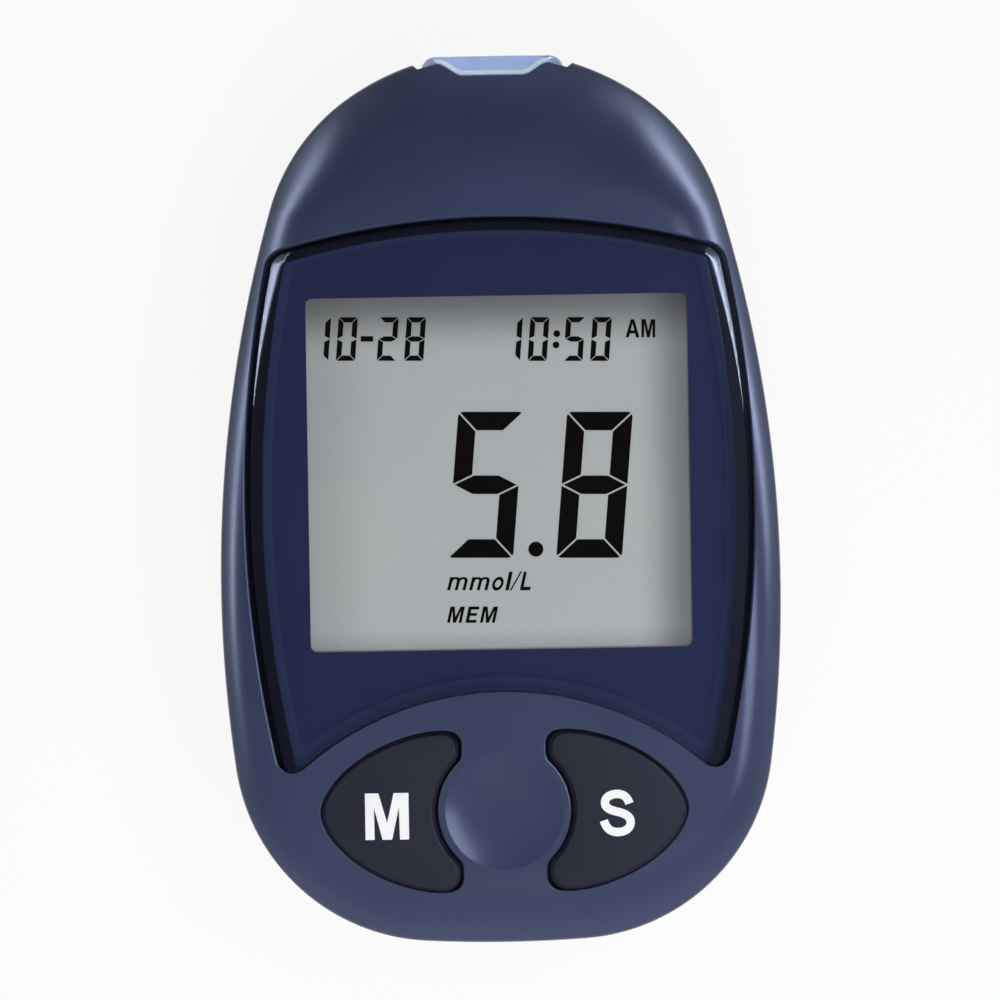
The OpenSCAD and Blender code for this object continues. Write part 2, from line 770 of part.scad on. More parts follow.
module rear_housing() {
    color([0.22, 0.24, 0.36]) difference() {
        union() {
            difference() {
                back_outside();
                difference() {
                    back_inside();
                    back_blocks();
                }
            }
            wide_box(2 * (bay_half + bay_wall), bay_y0 - bay_wall, bay_y1 + bay_wall,
                split_z - over, tub_top);
            for (p = screw_spots) post(p, boss_r, screw_seat_z, board_z);
            translate([0, 0, split_z - over]) linear_extrude(lip_h + over) difference() {
                plan(lip_in, lip_in, lip_in);
                plan(lip_in + lip_t, lip_in + lip_t, lip_in + lip_t);
            }
        }
        port_space(fit);
        wide_box(port_w + 2 * fit, port_y0 - fit, far, port_z - fit, far);
        wide_box(2 * bay_half, bay_y0, bay_y1, -over, bay_top);
        wide_box(door_w + 2 * door_gap, -far, door_y1 + door_gap, -over, door_t + door_gap);
        wide_box(door_w + 2 * door_gap, -far, bay_y0 - bay_wall, -over, door_end_z + door_gap);
        wide_box(door_w + 2 * door_gap, -far, door_bend_y, -over, door_bend_z);
        wide_box(2 * far, face_y - nose_flat, far, -over, far);
        wide_box(door_w + 2 * (tongue_w + door_gap), -far, door_y1 + door_gap,
            tongue_z - door_gap, door_t + door_gap);
        for (s = [-1, 1]) box(s * cell_x - tail_w / 2 - fit, s * cell_x + tail_w / 2 + fit,
            bay_y1 - plate_t - fit, bay_y1, bay_top - over, tub_top + over);
        for (p = screw_spots) {
            post(p, screw_head_r + screw_head_gap, -over, screw_seat_z);
            post(p, screw_r + screw_fit, screw_seat_z - over, board_z + over);
        }
    }
}

glass_room = 0.3;      // the housing's opening beyond the display's glass
key_floor_t = 2.25;    // the housing above a key's flange
key_ceiling = crown([key_x + key_a / 2, pad_y]) - key_floor_t;
key_gap = 0.45;
key_hollow_gap = 0.65;
flange_out = 0.9;
flange_t = 0.65;
pocket_out = 1.2;

module at_keys() {
    for (s = [0, 1]) translate([0, pad_y, 0]) mirror([s, 0, 0]) children();
}

module front_housing() {
    dimple_sphere_r = (dimple_r * dimple_r + dimple_d * dimple_d) / (2 * dimple_d);
    frame_half = glass_w / 2 + frame_rim + fit;
    color([0.24, 0.27, 0.39]) difference() {
        front_outside();
        difference() {
            front_inside();
            for (p = screw_spots) post(p, boss_r, board_top, far);
            wide_box(port_w + 2 * port_wall, port_y0 + port_roof_at, far, port_top, far);
        }
        translate([0, 0, split_z - over]) linear_extrude(over + lip_h + fit)
            plan(lip_in - fit, lip_in - fit, lip_in - fit);
        translate([0, 0, ledge_z]) linear_extrude(far)
            polygon(window_plan(-fit, -fit, -fit));
        wide_box(glass_w + 2 * glass_room, glass_y0 - glass_room, glass_y1 + glass_room,
            board_top, far);
        wide_box(2 * frame_half, glass_y0 - frame_rim - fit, glass_y1 + frame_rim + fit,
            board_z, deck_z);
        at_keys() translate([0, 0, board_z]) linear_extrude(key_ceiling - board_z)
            key_plan(pocket_out, pocket_out);
        at_keys() translate([0, 0, board_z]) linear_extrude(far)
            key_plan(key_gap, key_hollow_gap);
        translate([0, pad_y, crown([0, pad_y]) - dimple_d + dimple_sphere_r])
            sphere(r = dimple_sphere_r, $fn = 96);
        port_space(fit);
        translate([0, 0, port_z]) linear_extrude(far) scoop_plan();
        for (p = screw_spots) post(p, screw_r + screw_fit, board_z, screw_tip_z + screw_end_gap);
    }
}

// ---------------------------------------------------------------- window and display

bevel_foot_w = 0.2;    // the bevel is narrow along the arch

module display_window() {
    function ring(side, top, foot, down) = [
        for (p = window_plan(side, top, foot)) [p[0], p[1], crown(p) - down],
    ];
    function inner(share) = [
        for (p = window_plan(bevel_w, bevel_top_w, bevel_foot_w))
            let (q = [p[0] * share, mid_y + (p[1] - mid_y) * share]) [q[0], q[1], crown(q)],
    ];
    color([0.16, 0.18, 0.3, 0.45]) loft(
        [
            [for (p = window_plan(0, 0, 0)) [p[0], p[1], seat_z]],
            ring(0, 0, 0, bevel_h),
            ring(bevel_w, bevel_top_w, bevel_foot_w, 0),
            inner(0.66),
            inner(0.33),
        ],
        [0, mid_y, crown([0, mid_y])]
    );
}

module rounded_window(w, h, r) {
    points = [
        for (q = [[1, 1, 0], [1, -1, 90], [-1, -1, 180], [-1, 1, 270]])
            for (b = [0:22.5:90])
                [q[0] * (w / 2 - r), q[1] * (h / 2 - r)] + r * unit(q[2] + b),
    ];
    polygon(points);
}

mask_in = 0.4;         // the mask's edge inside the window's

module window_mask() {
    color([0.15, 0.17, 0.29]) translate([0, 0, ledge_z]) linear_extrude(mask_t) difference() {
        polygon(window_plan(mask_in, mask_in, mask_in));
        translate([0, mid_y]) rounded_window(aperture_w, aperture_h, aperture_r);
    }
}

module glass_sheet(y0, z, t, margin) {
    wide_box(glass_w - 2 * margin, y0 + margin, glass_y1 - margin, z, z + t);
}

module lcd_front_polarizer() {
    color([0.66, 0.68, 0.7])
        glass_sheet(glass_y0 + ledge_w, polarizer_z, polarizer_t, polarizer_in);
}

module lcd_front_glass() {
    color([0.75, 0.8, 0.8, 0.5]) glass_sheet(glass_y0, front_glass_z, glass_t, 0);
}

module lcd_rear_glass() {
    color([0.7, 0.76, 0.76, 0.5]) glass_sheet(glass_y0 + ledge_w, rear_glass_z, glass_t, 0);
}

module lcd_rear_polarizer() {
    color([0.6, 0.62, 0.62])
        glass_sheet(glass_y0 + ledge_w, rear_polarizer_z, polarizer_t, polarizer_in);
}

rubber_y = glass_y0 + ledge_w / 2;
rubber_t = 1.8;
rubber_in = 2;         // the contact strip's ends inside the glass
rubber_w = glass_w - 2 * rubber_in;
frame_lap = 0.5;       // the holder's shelf under the edge of the picture
frame_rib = 1.2;

module lcd_frame() {
    half = glass_w / 2 + frame_rim;
    rubber_y0 = rubber_y - rubber_t / 2;
    rubber_y1 = rubber_y + rubber_t / 2;
    color("white") difference() {
        wide_box(2 * half, glass_y0 - frame_rim, glass_y1 + frame_rim, board_top, frame_z1);
        wide_box(glass_w + 2 * fit, glass_y0 - fit, glass_y1 + fit, rear_polarizer_z, far);
        wide_box(aperture_w - 2 * frame_lap, rubber_y1 + frame_rib, aperture_y1, -over, far);
        wide_box(rubber_w + 2 * fit, rubber_y0 - fit, rubber_y1 + fit, -over, far);
    }
}

module lcd_contact_strip() {
    color([0.85, 0.45, 0.4]) wide_box(rubber_w, rubber_y - rubber_t / 2, rubber_y + rubber_t / 2,
        board_top, front_glass_z);
}

// ---------------------------------------------------------------- board and its parts

board_side_in = 3.2;
board_head_in = 6.2;
board_foot_in = 4.2;
board_hole_gap = 0.25;

module main_board() {
    color([0.05, 0.32, 0.18]) difference() {
        translate([0, 0, board_z]) linear_extrude(board_t)
            plan(board_side_in, board_head_in, board_foot_in);
        for (p = screw_spots) post(p, screw_r + board_hole_gap, board_z - over, board_top + over);
    }
}

lead_t = 0.2;
lead_l = 1;
fine_pitch = 0.8;

// A chip with leads along two or four of its sides.
module chip(w, l, h, pins, pitch, sides) {
    translate([-w / 2, -l / 2, 0]) cube([w, l, h]);
    for (side = [0:sides - 1]) rotate(side * 360 / sides)
        for (i = [0:pins - 1])
            translate([w / 2 - fit, (i - (pins - 1) / 2) * pitch - pitch / 4, 0])
                cube([lead_l + fit, pitch / 2, lead_t]);
}

// Places on the board are measured from the middle of the display.
module on_board(x, y) {
    translate([x, mid_y + y, board_top]) children();
}

module under_board(x, y) {
    translate([x, mid_y + y, board_z]) mirror([0, 0, 1]) children();
}

controller_x = -6;
controller_y = 2;
controller_w = 9;
controller_h = 1.2;
controller_pins = 10;

module microcontroller() {
    color([0.12, 0.12, 0.13]) on_board(controller_x, controller_y)
        chip(controller_w, controller_w, controller_h, controller_pins, fine_pitch, 4);
}

analog_x = 9;
analog_y = 7.5;
analog_w = 5;
analog_h = 1;
analog_pins = 5;

module analog_chip() {
    color([0.12, 0.12, 0.13]) on_board(analog_x, analog_y)
        chip(analog_w, analog_w, analog_h, analog_pins, fine_pitch, 4);
}

memory_x = 9;
memory_y = -6;
memory_w = 4;
memory_l = 5;
memory_h = 1.2;
memory_pitch = 1.2;
memory_pins = 4;

module memory_chip() {
    color([0.12, 0.12, 0.13]) on_board(memory_x, memory_y)
        chip(memory_w, memory_l, memory_h, memory_pins, memory_pitch, 2);
}

crystal_r = 1;
crystal_l = 6;
crystal_y = -2;
crystal_gap = 3.8;

module clock_crystal() {
    x = bay_half + bay_wall + crystal_gap + crystal_r;
    color("silver") translate([-x, mid_y + crystal_y, board_z - crystal_r]) rotate([-90, 0, 0])
        cylinder(r = crystal_r, h = crystal_l);
}

buzzer_r = 4.5;
buzzer_h = 2.6;
buzzer_y = -4;
buzzer_gap = 1.3;
vent_r = 0.8;
vent_d = 0.8;

module buzzer() {
    x = bay_half + bay_wall + buzzer_gap + buzzer_r;
    color([0.1, 0.1, 0.1]) under_board(x, buzzer_y) difference() {
        cylinder(r = buzzer_r, h = buzzer_h);
        translate([0, 0, buzzer_h - vent_d]) cylinder(r = vent_r, h = vent_d + over);
    }
}

part_n = 6;
part_l = 1.6;
part_w = 0.8;
upper_part_h = 0.6;
lower_part_h = 0.5;
upper_pitch = 3;
lower_pitch = 2.6;
row_x = -12;
upper_row_in = 5.2;    // the rows of small parts, inside the display's upper and lower edges
lower_row_in = 6.7;

module chip_components() {
    color([0.7, 0.62, 0.5]) for (i = [0:part_n - 1]) {
        on_board(row_x + i * upper_pitch, aperture_h / 2 - upper_row_in)
            cube([part_l, part_w, upper_part_h]);
        on_board(row_x + i * lower_pitch, lower_row_in - aperture_h / 2)
            cube([part_w, part_l, lower_part_h]);
    }
}

// ---------------------------------------------------------------- keys and switches

switch_w = 6;
switch_h = 1.7;
plunger_r = 1.6;
plunger_fit = 0.06;
plunger_up = 0.7;
stem_r = 2;
switch_in = 0.6;
switch_floor = 0.3;
plunger_gap = 0.05;    // under a plunger that is pressed fully
key_step = 0.12;       // the key's rounded top edge, in two small steps
switch_x = key_x + key_a / 2 - switch_in;
switch_top = board_top + switch_h;
plunger_top = switch_top + plunger_up;
flange_z1 = key_ceiling - fit;
flange_z0 = flange_z1 - flange_t;

// The right-hand key. Its top edge is rounded off in small steps.
module key() {
    top = crown([key_x + key_a / 2, pad_y]) + key_proud;
    translate([0, 0, flange_z0]) linear_extrude(flange_t) key_plan(flange_out, flange_out);
    translate([0, 0, flange_z0 + fit])
        linear_extrude(top - 2 * key_step - flange_z0 - fit) key_plan(0, 0);
    for (i = [1, 2]) translate([0, 0, flange_z1])
        linear_extrude(top - (2 - i) * key_step - flange_z1)
            offset(delta = -i * key_step) key_plan(0, 0);
    post([switch_x, 0], stem_r, plunger_top, flange_z0 + fit);
}

module set_key() {
    color([0.18, 0.18, 0.24]) translate([0, pad_y, 0]) key();
}

module memory_key() {
    color([0.18, 0.18, 0.24]) translate([0, pad_y, 0]) mirror([1, 0, 0]) key();
}

module switch_body(s) {
    color([0.1, 0.1, 0.1]) difference() {
        translate([s * switch_x - switch_w / 2, pad_y - switch_w / 2, board_top])
            cube([switch_w, switch_w, switch_h]);
        post([s * switch_x, pad_y], plunger_r + plunger_fit, board_top + switch_floor,
            switch_top + over);
    }
}

module switch_plunger(s) {
    color([0.75, 0.75, 0.75]) post([s * switch_x, pad_y], plunger_r,
        board_top + switch_floor + plunger_gap + key_travel, plunger_top);
}

module memory_switch() {
    switch_body(-1);
}

module set_switch() {
    switch_body(1);
}

module memory_switch_plunger() {
    switch_plunger(-1);
}

module set_switch_plunger() {
    switch_plunger(1);
}

// ---------------------------------------------------------------- the assembly

front_housing();
rear_housing();
battery_door();
display_window();
window_mask();
lcd_front_polarizer();
lcd_front_glass();
lcd_rear_glass();
lcd_rear_polarizer();
lcd_frame();
lcd_contact_strip();
main_board();
microcontroller();
analog_chip();
memory_chip();
clock_crystal();
buzzer();
chip_components();
memory_key();
set_key();
memory_switch();
set_switch();
memory_switch_plunger();
set_switch_plunger();
strip_port();
strip_connector();
strip_contacts();
left_battery();
right_battery();
battery_bridge();
battery_plus_contact();
battery_minus_contact();
bridge_spring();
minus_spring();
housing_screws();
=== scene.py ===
"""Looks of a hand-held blood glucose meter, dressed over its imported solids.

Shapes are worked out in millimetres in the frame of the solids, from the same sizes, and are
scaled to metres once, when a piece is finished. Bearings are degrees clockwise from +Y.
"""
from math import (
    atan, atan2, copysign, cos, degrees, pi, radians, sin, sqrt, tan)

import bmesh
import bpy
from mathutils import Matrix, Vector
from mathutils.bvhtree import BVHTree


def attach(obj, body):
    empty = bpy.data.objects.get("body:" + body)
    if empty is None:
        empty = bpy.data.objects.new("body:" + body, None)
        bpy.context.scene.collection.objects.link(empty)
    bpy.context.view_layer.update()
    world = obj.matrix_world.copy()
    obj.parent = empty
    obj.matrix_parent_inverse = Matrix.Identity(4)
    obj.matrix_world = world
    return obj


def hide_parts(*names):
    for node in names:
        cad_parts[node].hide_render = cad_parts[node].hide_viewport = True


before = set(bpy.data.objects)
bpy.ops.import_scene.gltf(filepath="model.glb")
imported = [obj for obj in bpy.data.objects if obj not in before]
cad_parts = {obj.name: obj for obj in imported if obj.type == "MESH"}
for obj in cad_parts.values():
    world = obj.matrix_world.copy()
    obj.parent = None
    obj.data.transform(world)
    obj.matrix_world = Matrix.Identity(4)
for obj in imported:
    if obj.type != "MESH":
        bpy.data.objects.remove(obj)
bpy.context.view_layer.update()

MM = 0.001

# ---------------- sizes of the solids, in mm

# Body
BODY_L = 88.6
BODY_W = 56.0
SPLIT_Z = 9.0
SHOULDER_R = 20.4
SHOULDER_IN = 4.66
HEAD_ARC = 33.4
FOOT_R = 20.2
FOOT_IN = 1.04
FOOT_ARC = 3.53
NOSE_CUT = 0.5
CROWN_RX = 400.0
CROWN_RY = 900.0
BODY_T = 21.0
HALF_W = BODY_W / 2
FOOT_Y = -BODY_L / 2
FACE_Y = BODY_L / 2
APEX_Y = FACE_Y + NOSE_CUT

# Shell edges
WALL_T = 1.6
SIDE_EDGE, HEAD_EDGE, FOOT_EDGE = 3.6, 12.8, 7.0
SIDE_DROP, HEAD_DROP, FOOT_DROP = 4.2, 10.6, 6.5
BACK_EDGE, BACK_HEAD_EDGE = 8.0, 10.0
HEAD_BLEND = (24.0, 74.0)
HEAD_EDGE_BLEND = (24.0, 92.0)
FOOT_BLEND = (106.0, 160.0)
EDGE_DRAFT = 0.2
EDGE_R = 0.9
FLARE_END = 82.0
WALL_LEAN = 0.03
SIDE_SLOPE, HEAD_SLOPE, FOOT_SLOPE = 1.12, 0.90, 1.2
SPLIT_GROOVE = 0.16
LIP_IN, LIP_T, LIP_H = 0.85, 0.9, 1.0
DECK_Z = 16.6
LEDGE_Z = 17.8
SEAT_Z = 18.0
BOARD_Z = 13.5
BOARD_TOP = 14.5
FIT = 0.1

# Window
WINDOW_X = HALF_W - 2.65
WINDOW_TOP_Y = FACE_Y - 16.1
WINDOW_TOP_IN = 3.53
WINDOW_TOP_R = 78.0
WINDOW_FOOT_AT = 25.05
WINDOW_CORNER_X = WINDOW_X - 3.39
WINDOW_CORNER_Y = FOOT_Y + 15.85
WINDOW_TOP_CORNER = 2.2
WINDOW_FOOT_CORNER = 1.5
LEAST_CORNER = 0.4
BEVEL_W, BEVEL_TOP_W, BEVEL_FOOT_W = 1.65, 1.3, 0.2
GROOVE_SHARE, GROOVE_D = 0.27, 1.5
STREAK_SHARE, STREAK_Y, STREAK_END = 0.62, 7.0, 4.5
STREAK_X0, STREAK_X1 = 20.5, 22.0
STREAK_SLOPES = (0.86, 0.74)
DARK_SLOPE = 0.3
ARCH_LAP, ARCH_BLEND = 0.6, 1.8
BAND_W, BAND_TOP_W, BAND_FOOT_W = 0.95, 0.5, 1.3
APERTURE_Y0 = FOOT_Y + WINDOW_FOOT_AT + 4.2
APERTURE_Y1 = WINDOW_TOP_Y - 7.85
APERTURE_W = 2 * (WINDOW_X - 6.25)
MID_Y = (APERTURE_Y0 + APERTURE_Y1) / 2
GLASS_W = APERTURE_W + 3.8
GLASS_Y0 = APERTURE_Y0 - 3.2
GLASS_Y1 = APERTURE_Y1 + 2.2
GLASS_ROOM, FRAME_T = 0.3, 1.3
WINDOW_FLARE, WINDOW_FOOT_LAP = 0.24, 0.03

# Keys
PAD_Y = FOOT_Y + 13.15
KEY_X = 6.4
KEY_A, KEY_B, KEY_POWER = 11.55, 7.62, 1.7
KEY_HOLLOW_R = 7.3
KEY_LOBE_X = 4.85
KEY_TIP_R = 1.4
KEY_PROUD = 0.15
KEY_FULL = 0.07
SKIRT_OUT, SKIRT_DOWN = 0.27, 0.85
KEY_GAP, KEY_HOLLOW_GAP = 0.45, 0.65
KEY_FLOOR_T = 2.25
FLANGE_OUT, FLANGE_T = 0.9, 0.65
KEY_FLARE, KEY_SOFT = 0.18, 0.2
LEAST_TIP, STEM_R = 0.5, 2.0
INK_T = 0.02
POCKET_OUT = 1.2
SWITCH_X = KEY_X + KEY_A / 2 - 0.6
PLUNGER_TOP = BOARD_TOP + 1.7 + 0.7
DIMPLE_R, DISH_D = 5.95, 1.15

# Strip port
PORT_W, PORT_L, PORT_H = 14.2, 8.0, 5.0
PORT_Z = 7.4
PORT_TOP = PORT_Z + PORT_H
PORT_LIP_TOP = PORT_TOP + 1.2
PORT_CORNER = 1.4
PORT_Y0 = FACE_Y - PORT_L
SLOT_W, SLOT_H, SLOT_Z = 7.4, 1.2, 10.4
SCOOP_W = 6.0
SCOOP_Y = FACE_Y - 1.9
HORN_Y = FACE_Y - 0.7
HORN_X = PORT_W / 2 - 1.5
NOTCH_Y = FACE_Y - 1.2
NOTCH_X = PORT_W / 2 + 0.4
NOTCH_W, NOTCH_RISE = 1.1, 0.9
PORT_FLANGE_W, PORT_FLANGE_L = 1.1, 1.5
PORT_FLANGE_Y = PORT_Y0 + 1.8
PORT_WALL, PORT_SHELF = 2.3, 2.6
PORT_SOFT, TROUGH_IN, TROUGH_FLARE = 0.25, 0.5, 0.35
PORT_LIP_IN, PORT_LIP_BACK, PORT_LIP_D = 0.1, 0.25, 0.6
MOUTH_ROOM, MOUTH_L, MOUTH_RISE = 1.0, 1.2, 0.6
RIB_N, RIB_AT, RIB_PITCH, RIB_L = 5, 0.75, 0.26, 0.12
RIB_IN, RIB_DOWN, RIB_UP = 0.2, 0.1, 0.07
NOTCH_CUT = 0.3

# Batteries, their bay and the door
CELL_X = 5.45
BAY_Y0 = FOOT_Y + 8.8
BAY_Y1 = BAY_Y0 + 49.0
BAY_HALF = 10.9
BAY_WALL = 1.3
BAY_TOP = 12.4
TUB_TOP = 13.3
DOOR_T, DOOR_W, DOOR_GAP = 1.6, 25.0, 0.1
DOOR_Y1 = BAY_Y1 + 2.5
DOOR_END_Z = SPLIT_Z - 2.2
DOOR_END_WALL, DOOR_STEP_L = 1.4, 2.5
CLIP_HALF_W, CLIP_T = 1.6, 0.5
TONGUE_W, TONGUE_Z = 0.9, 0.9
TONGUE_Y0 = BAY_Y0 - 1.5
TONGUE_Y1 = DOOR_Y1 - 2.0
RAIL_W = DOOR_W / 2 + TONGUE_W + DOOR_GAP + 1.1
RAIL_Y0 = TONGUE_Y0 - 5.0
RAIL_Y1 = DOOR_Y1 + 1.2
GRIP_N, GRIP_PITCH, GRIP_W, GRIP_L, GRIP_D, GRIP_AT = 5, 2.0, 12.0, 1.0, 0.4, 5.0

# Screws
SCREW_SPOTS = [(s * x, y) for s in (-1, 1) for x, y in ((15.5, 29.2), (19.5, -22.3))]
SCREW_R, SCREW_FIT, SCREW_HEAD_R, SCREW_SEAT_Z = 1.1, 0.03, 2.0, 6.0
HEAD_ROOM, SEAT_T = 0.2, 1.5
BOSS_R, PILLAR_R = 2.5, 3.5
FAR = 60.0

# The meter leans by this much in the photograph, and the picture on its display doesn't.
PHOTO_ROLL = radians(0.95)

# ---------------- plan curves


def at(x, y):
    return Vector((x, y))


def unit(turn):
    """The direction of a bearing."""
    return at(sin(radians(turn)), cos(radians(turn)))


def bearing(v):
    return degrees(atan2(v[0], v[1]))


def flip(p):
    return at(-p[0], p[1])


def both_halves(right, shared=0):
    """A right half and its mirror image as one closed outline, with its shared ends once."""
    return right + [flip(p) for p in reversed(right[shared:len(right) - shared])]


def ease(t):
    u = max(0.0, min(1.0, t))
    return u * u * (3 - 2 * u)


def meet(c1, r1, c2, r2, side):
    """The crossing of two circles on the given side of the line between their centres."""
    gap = (c2 - c1).length
    along = (r1 * r1 - r2 * r2 + gap * gap) / (2 * gap)
    up = sqrt(r1 * r1 - along * along)
    u = (c2 - c1) / gap
    return c1 + along * u + side * up * at(-u.y, u.x)


def side_arc(line, top, top_r, low, low_r):
    """The circle that touches x = line from inside and holds two circles on its inner side."""
    top_gap = line - top[0] - top_r
    low_gap = line - low[0] - low_r
    p = 1 / (2 * top_gap)
    q = 1 / (2 * low_gap)
    b = 2 * (q * low[1] - p * top[1])
    c = p * top[1] ** 2 - q * low[1] ** 2 + top_gap / 2 + top_r - low_gap / 2 - low_r
    y = 2 * c / (sqrt(b * b - 4 * (p - q) * c) - b)
    r = p * (y - top[1]) ** 2 + top_gap / 2 + top_r
    return at(line - r, y), r


HEAD_R = SHOULDER_R + (HALF_W - SHOULDER_IN - SHOULDER_R) / unit(HEAD_ARC).x
HEAD_C = at(0, APEX_Y - HEAD_R)
SHOULDER_C = HEAD_C + (HEAD_R - SHOULDER_R) * unit(HEAD_ARC)
BASE_R = FOOT_R + (HALF_W - FOOT_IN - FOOT_R) / unit(FOOT_ARC).x
BASE_C = at(0, FOOT_Y + BASE_R)
FOOT_C = BASE_C + (BASE_R - FOOT_R) * unit(180 - FOOT_ARC)
SIDE_C, SIDE_R = side_arc(HALF_W, SHOULDER_C, SHOULDER_R, FOOT_C, FOOT_R)
SHOULDER_END = bearing(SHOULDER_C - SIDE_C)
SIDE_END = bearing(FOOT_C - SIDE_C)
BODY_ARCS = [
    (HEAD_C, HEAD_R, 0.0, HEAD_ARC, 20),
    (SHOULDER_C, SHOULDER_R, HEAD_ARC, SHOULDER_END, 22),
    (SIDE_C, SIDE_R, SHOULDER_END, SIDE_END, 26),
    (FOOT_C, FOOT_R, SIDE_END, 180 - FOOT_ARC, 32),
    (BASE_C, BASE_R, 180 - FOOT_ARC, 180.0, 4),
]


def body_stations():
    """Places once round the outline, clockwise from the head: centre, radius, bearing."""
    right = []
    for centre, radius, first, last, steps in BODY_ARCS:
        for k in range(steps):
            right.append((centre, radius, first + (last - first) * k / steps))
    right.append((BASE_C, BASE_R, 180.0))
    left = [(flip(c), r, -b) for c, r, b in reversed(right[1:-1])]
    return right + left


STATIONS = body_stations()


def spot(station, inset):
    centre, radius, turn = station
    return centre + (radius - inset) * unit(turn)


def round_body(turn, side, head, foot, blend=HEAD_BLEND):
    """A size that changes smoothly from the head, over the sides, to the foot."""
    b = abs(turn)
    to_head = ease((blend[1] - b) / (blend[1] - blend[0]))
    to_foot = ease((b - FOOT_BLEND[0]) / (FOOT_BLEND[1] - FOOT_BLEND[0]))
    return side + (head - side) * to_head + (foot - side) * to_foot


def plan(inset):
    return [spot(s, inset) for s in STATIONS]


def crown(x, y):
    return BODY_T - x * x / (2 * CROWN_RX) - y * y / (2 * CROWN_RY)


KEY_DECK = crown(KEY_X + KEY_A / 2, PAD_Y)
KEY_TOP = KEY_DECK + KEY_PROUD
WINDOW_SIDE_C, WINDOW_SIDE_R = side_arc(
    WINDOW_X, (WINDOW_X - WINDOW_TOP_IN, WINDOW_TOP_Y), 0, (WINDOW_CORNER_X, WINDOW_CORNER_Y), 0)
WINDOW_TOP_C = at(0, WINDOW_TOP_Y - WINDOW_TOP_R)
ARCH_RISE = FOOT_Y + WINDOW_FOOT_AT - WINDOW_CORNER_Y
WINDOW_FOOT_R = (WINDOW_CORNER_X ** 2 + ARCH_RISE ** 2) / (2 * ARCH_RISE)
WINDOW_FOOT_C = at(0, FOOT_Y + WINDOW_FOOT_AT - WINDOW_FOOT_R)


def arc(centre, radius, first, last, steps):
    """Points along an arc, without its last one."""
    return [centre + radius * unit(first + (last - first) * k / steps) for k in range(steps)]


def window_plan(side, top, foot):
    """The window's outline, inset by its own amount at the sides, the top and the foot."""
    rs = WINDOW_SIDE_R - side
    rt = WINDOW_TOP_R - top
    rf = WINDOW_FOOT_R + foot
    ct = max(LEAST_CORNER, WINDOW_TOP_CORNER - side)
    cf = max(LEAST_CORNER, WINDOW_FOOT_CORNER - side)
    top_corner = meet(WINDOW_TOP_C, rt - ct, WINDOW_SIDE_C, rs - ct, -1)
    foot_corner = meet(WINDOW_SIDE_C, rs - cf, WINDOW_FOOT_C, rf + cf, 1)
    top_end = bearing(top_corner - WINDOW_TOP_C)
    side_start = bearing(top_corner - WINDOW_SIDE_C)
    side_end = bearing(foot_corner - WINDOW_SIDE_C)
    foot_start = bearing(foot_corner - WINDOW_FOOT_C)
    half = arc(WINDOW_TOP_C, rt, 0, top_end, 24)
    half += arc(top_corner, ct, top_end, side_start, 10)
    half += arc(WINDOW_SIDE_C, rs, side_start, side_end, 36)
    half += arc(foot_corner, cf, side_end, 180 + foot_start, 12)
    half += arc(WINDOW_FOOT_C, rf, foot_start, 0, 24)
    half.append(WINDOW_FOOT_C + rf * unit(0))
    return both_halves(half, 1)


def superellipse(angle, a, b):
    """A point of a key's outer curve and the direction that leaves it."""
    c = cos(angle)
    s = sin(angle)
    x = a * copysign(abs(c) ** (2 / KEY_POWER), c)
    y = b * copysign(abs(s) ** (2 / KEY_POWER), s)
    slant_x = copysign(abs(x / a) ** (KEY_POWER - 1) / a, c)
    slant_y = copysign(abs(y / b) ** (KEY_POWER - 1) / b, s)
    return at(x + KEY_X, y), at(slant_x, slant_y).normalized()


def key_plan(outer, inner, tip):
    """The right key's outline about the dimple's centre, clockwise from its right-hand tip."""
    a = KEY_A + outer
    b = KEY_B + outer
    lobe = KEY_LOBE_X - inner + tip
    hollow = KEY_HOLLOW_R - inner + tip

    def tip_centre(angle):
        p, out = superellipse(angle, a, b)
        return p - tip * out, out

    # The outer curve ends where the tip's round touches the lobe's side or the hollow.
    low = 0.02
    high = pi - 0.3
    for _ in range(40):
        middle = (low + high) / 2
        q = tip_centre(middle)[0]
        if q.x > lobe and q.length > hollow:
            low = middle
        else:
            high = middle
    first_c, out = tip_centre(low)
    if first_c.length > hollow:
        second_c = at(lobe, sqrt(max(0.0, hollow ** 2 - lobe ** 2)))
        turn_a = -90.0
    else:
        second_c = first_c.copy()
        turn_a = bearing(-second_c)
    turn_0 = bearing(out)
    turn_b = bearing(-second_c)
    if turn_b > 0:
        turn_b -= 360
    start = bearing(second_c)
    upper = [superellipse(low * sin(pi / 2 * k / 30), a, b)[0] for k in range(30)]
    upper += [first_c + tip * unit(turn_0 + (turn_a - turn_0) * k / 8) for k in range(9)]
    upper += [second_c + tip * unit(turn_a + (turn_b - turn_a) * k / 6) for k in range(7)]
    upper += [(hollow - tip) * unit(start + (90 - start) * k / 14) for k in range(1, 15)]
    # The upper half runs anticlockwise from the right-hand tip, so it is turned over here.
    lower = [at(p.x, -p.y) for p in upper]
    return lower + list(reversed(upper[1:-1]))


def at_pad(outline, hand):
    """An outline about the dimple's centre, moved to the keypad and mirrored for the left key."""
    moved = [at(hand * p.x, p.y + PAD_Y) for p in outline]
    return moved if hand > 0 else list(reversed(moved))


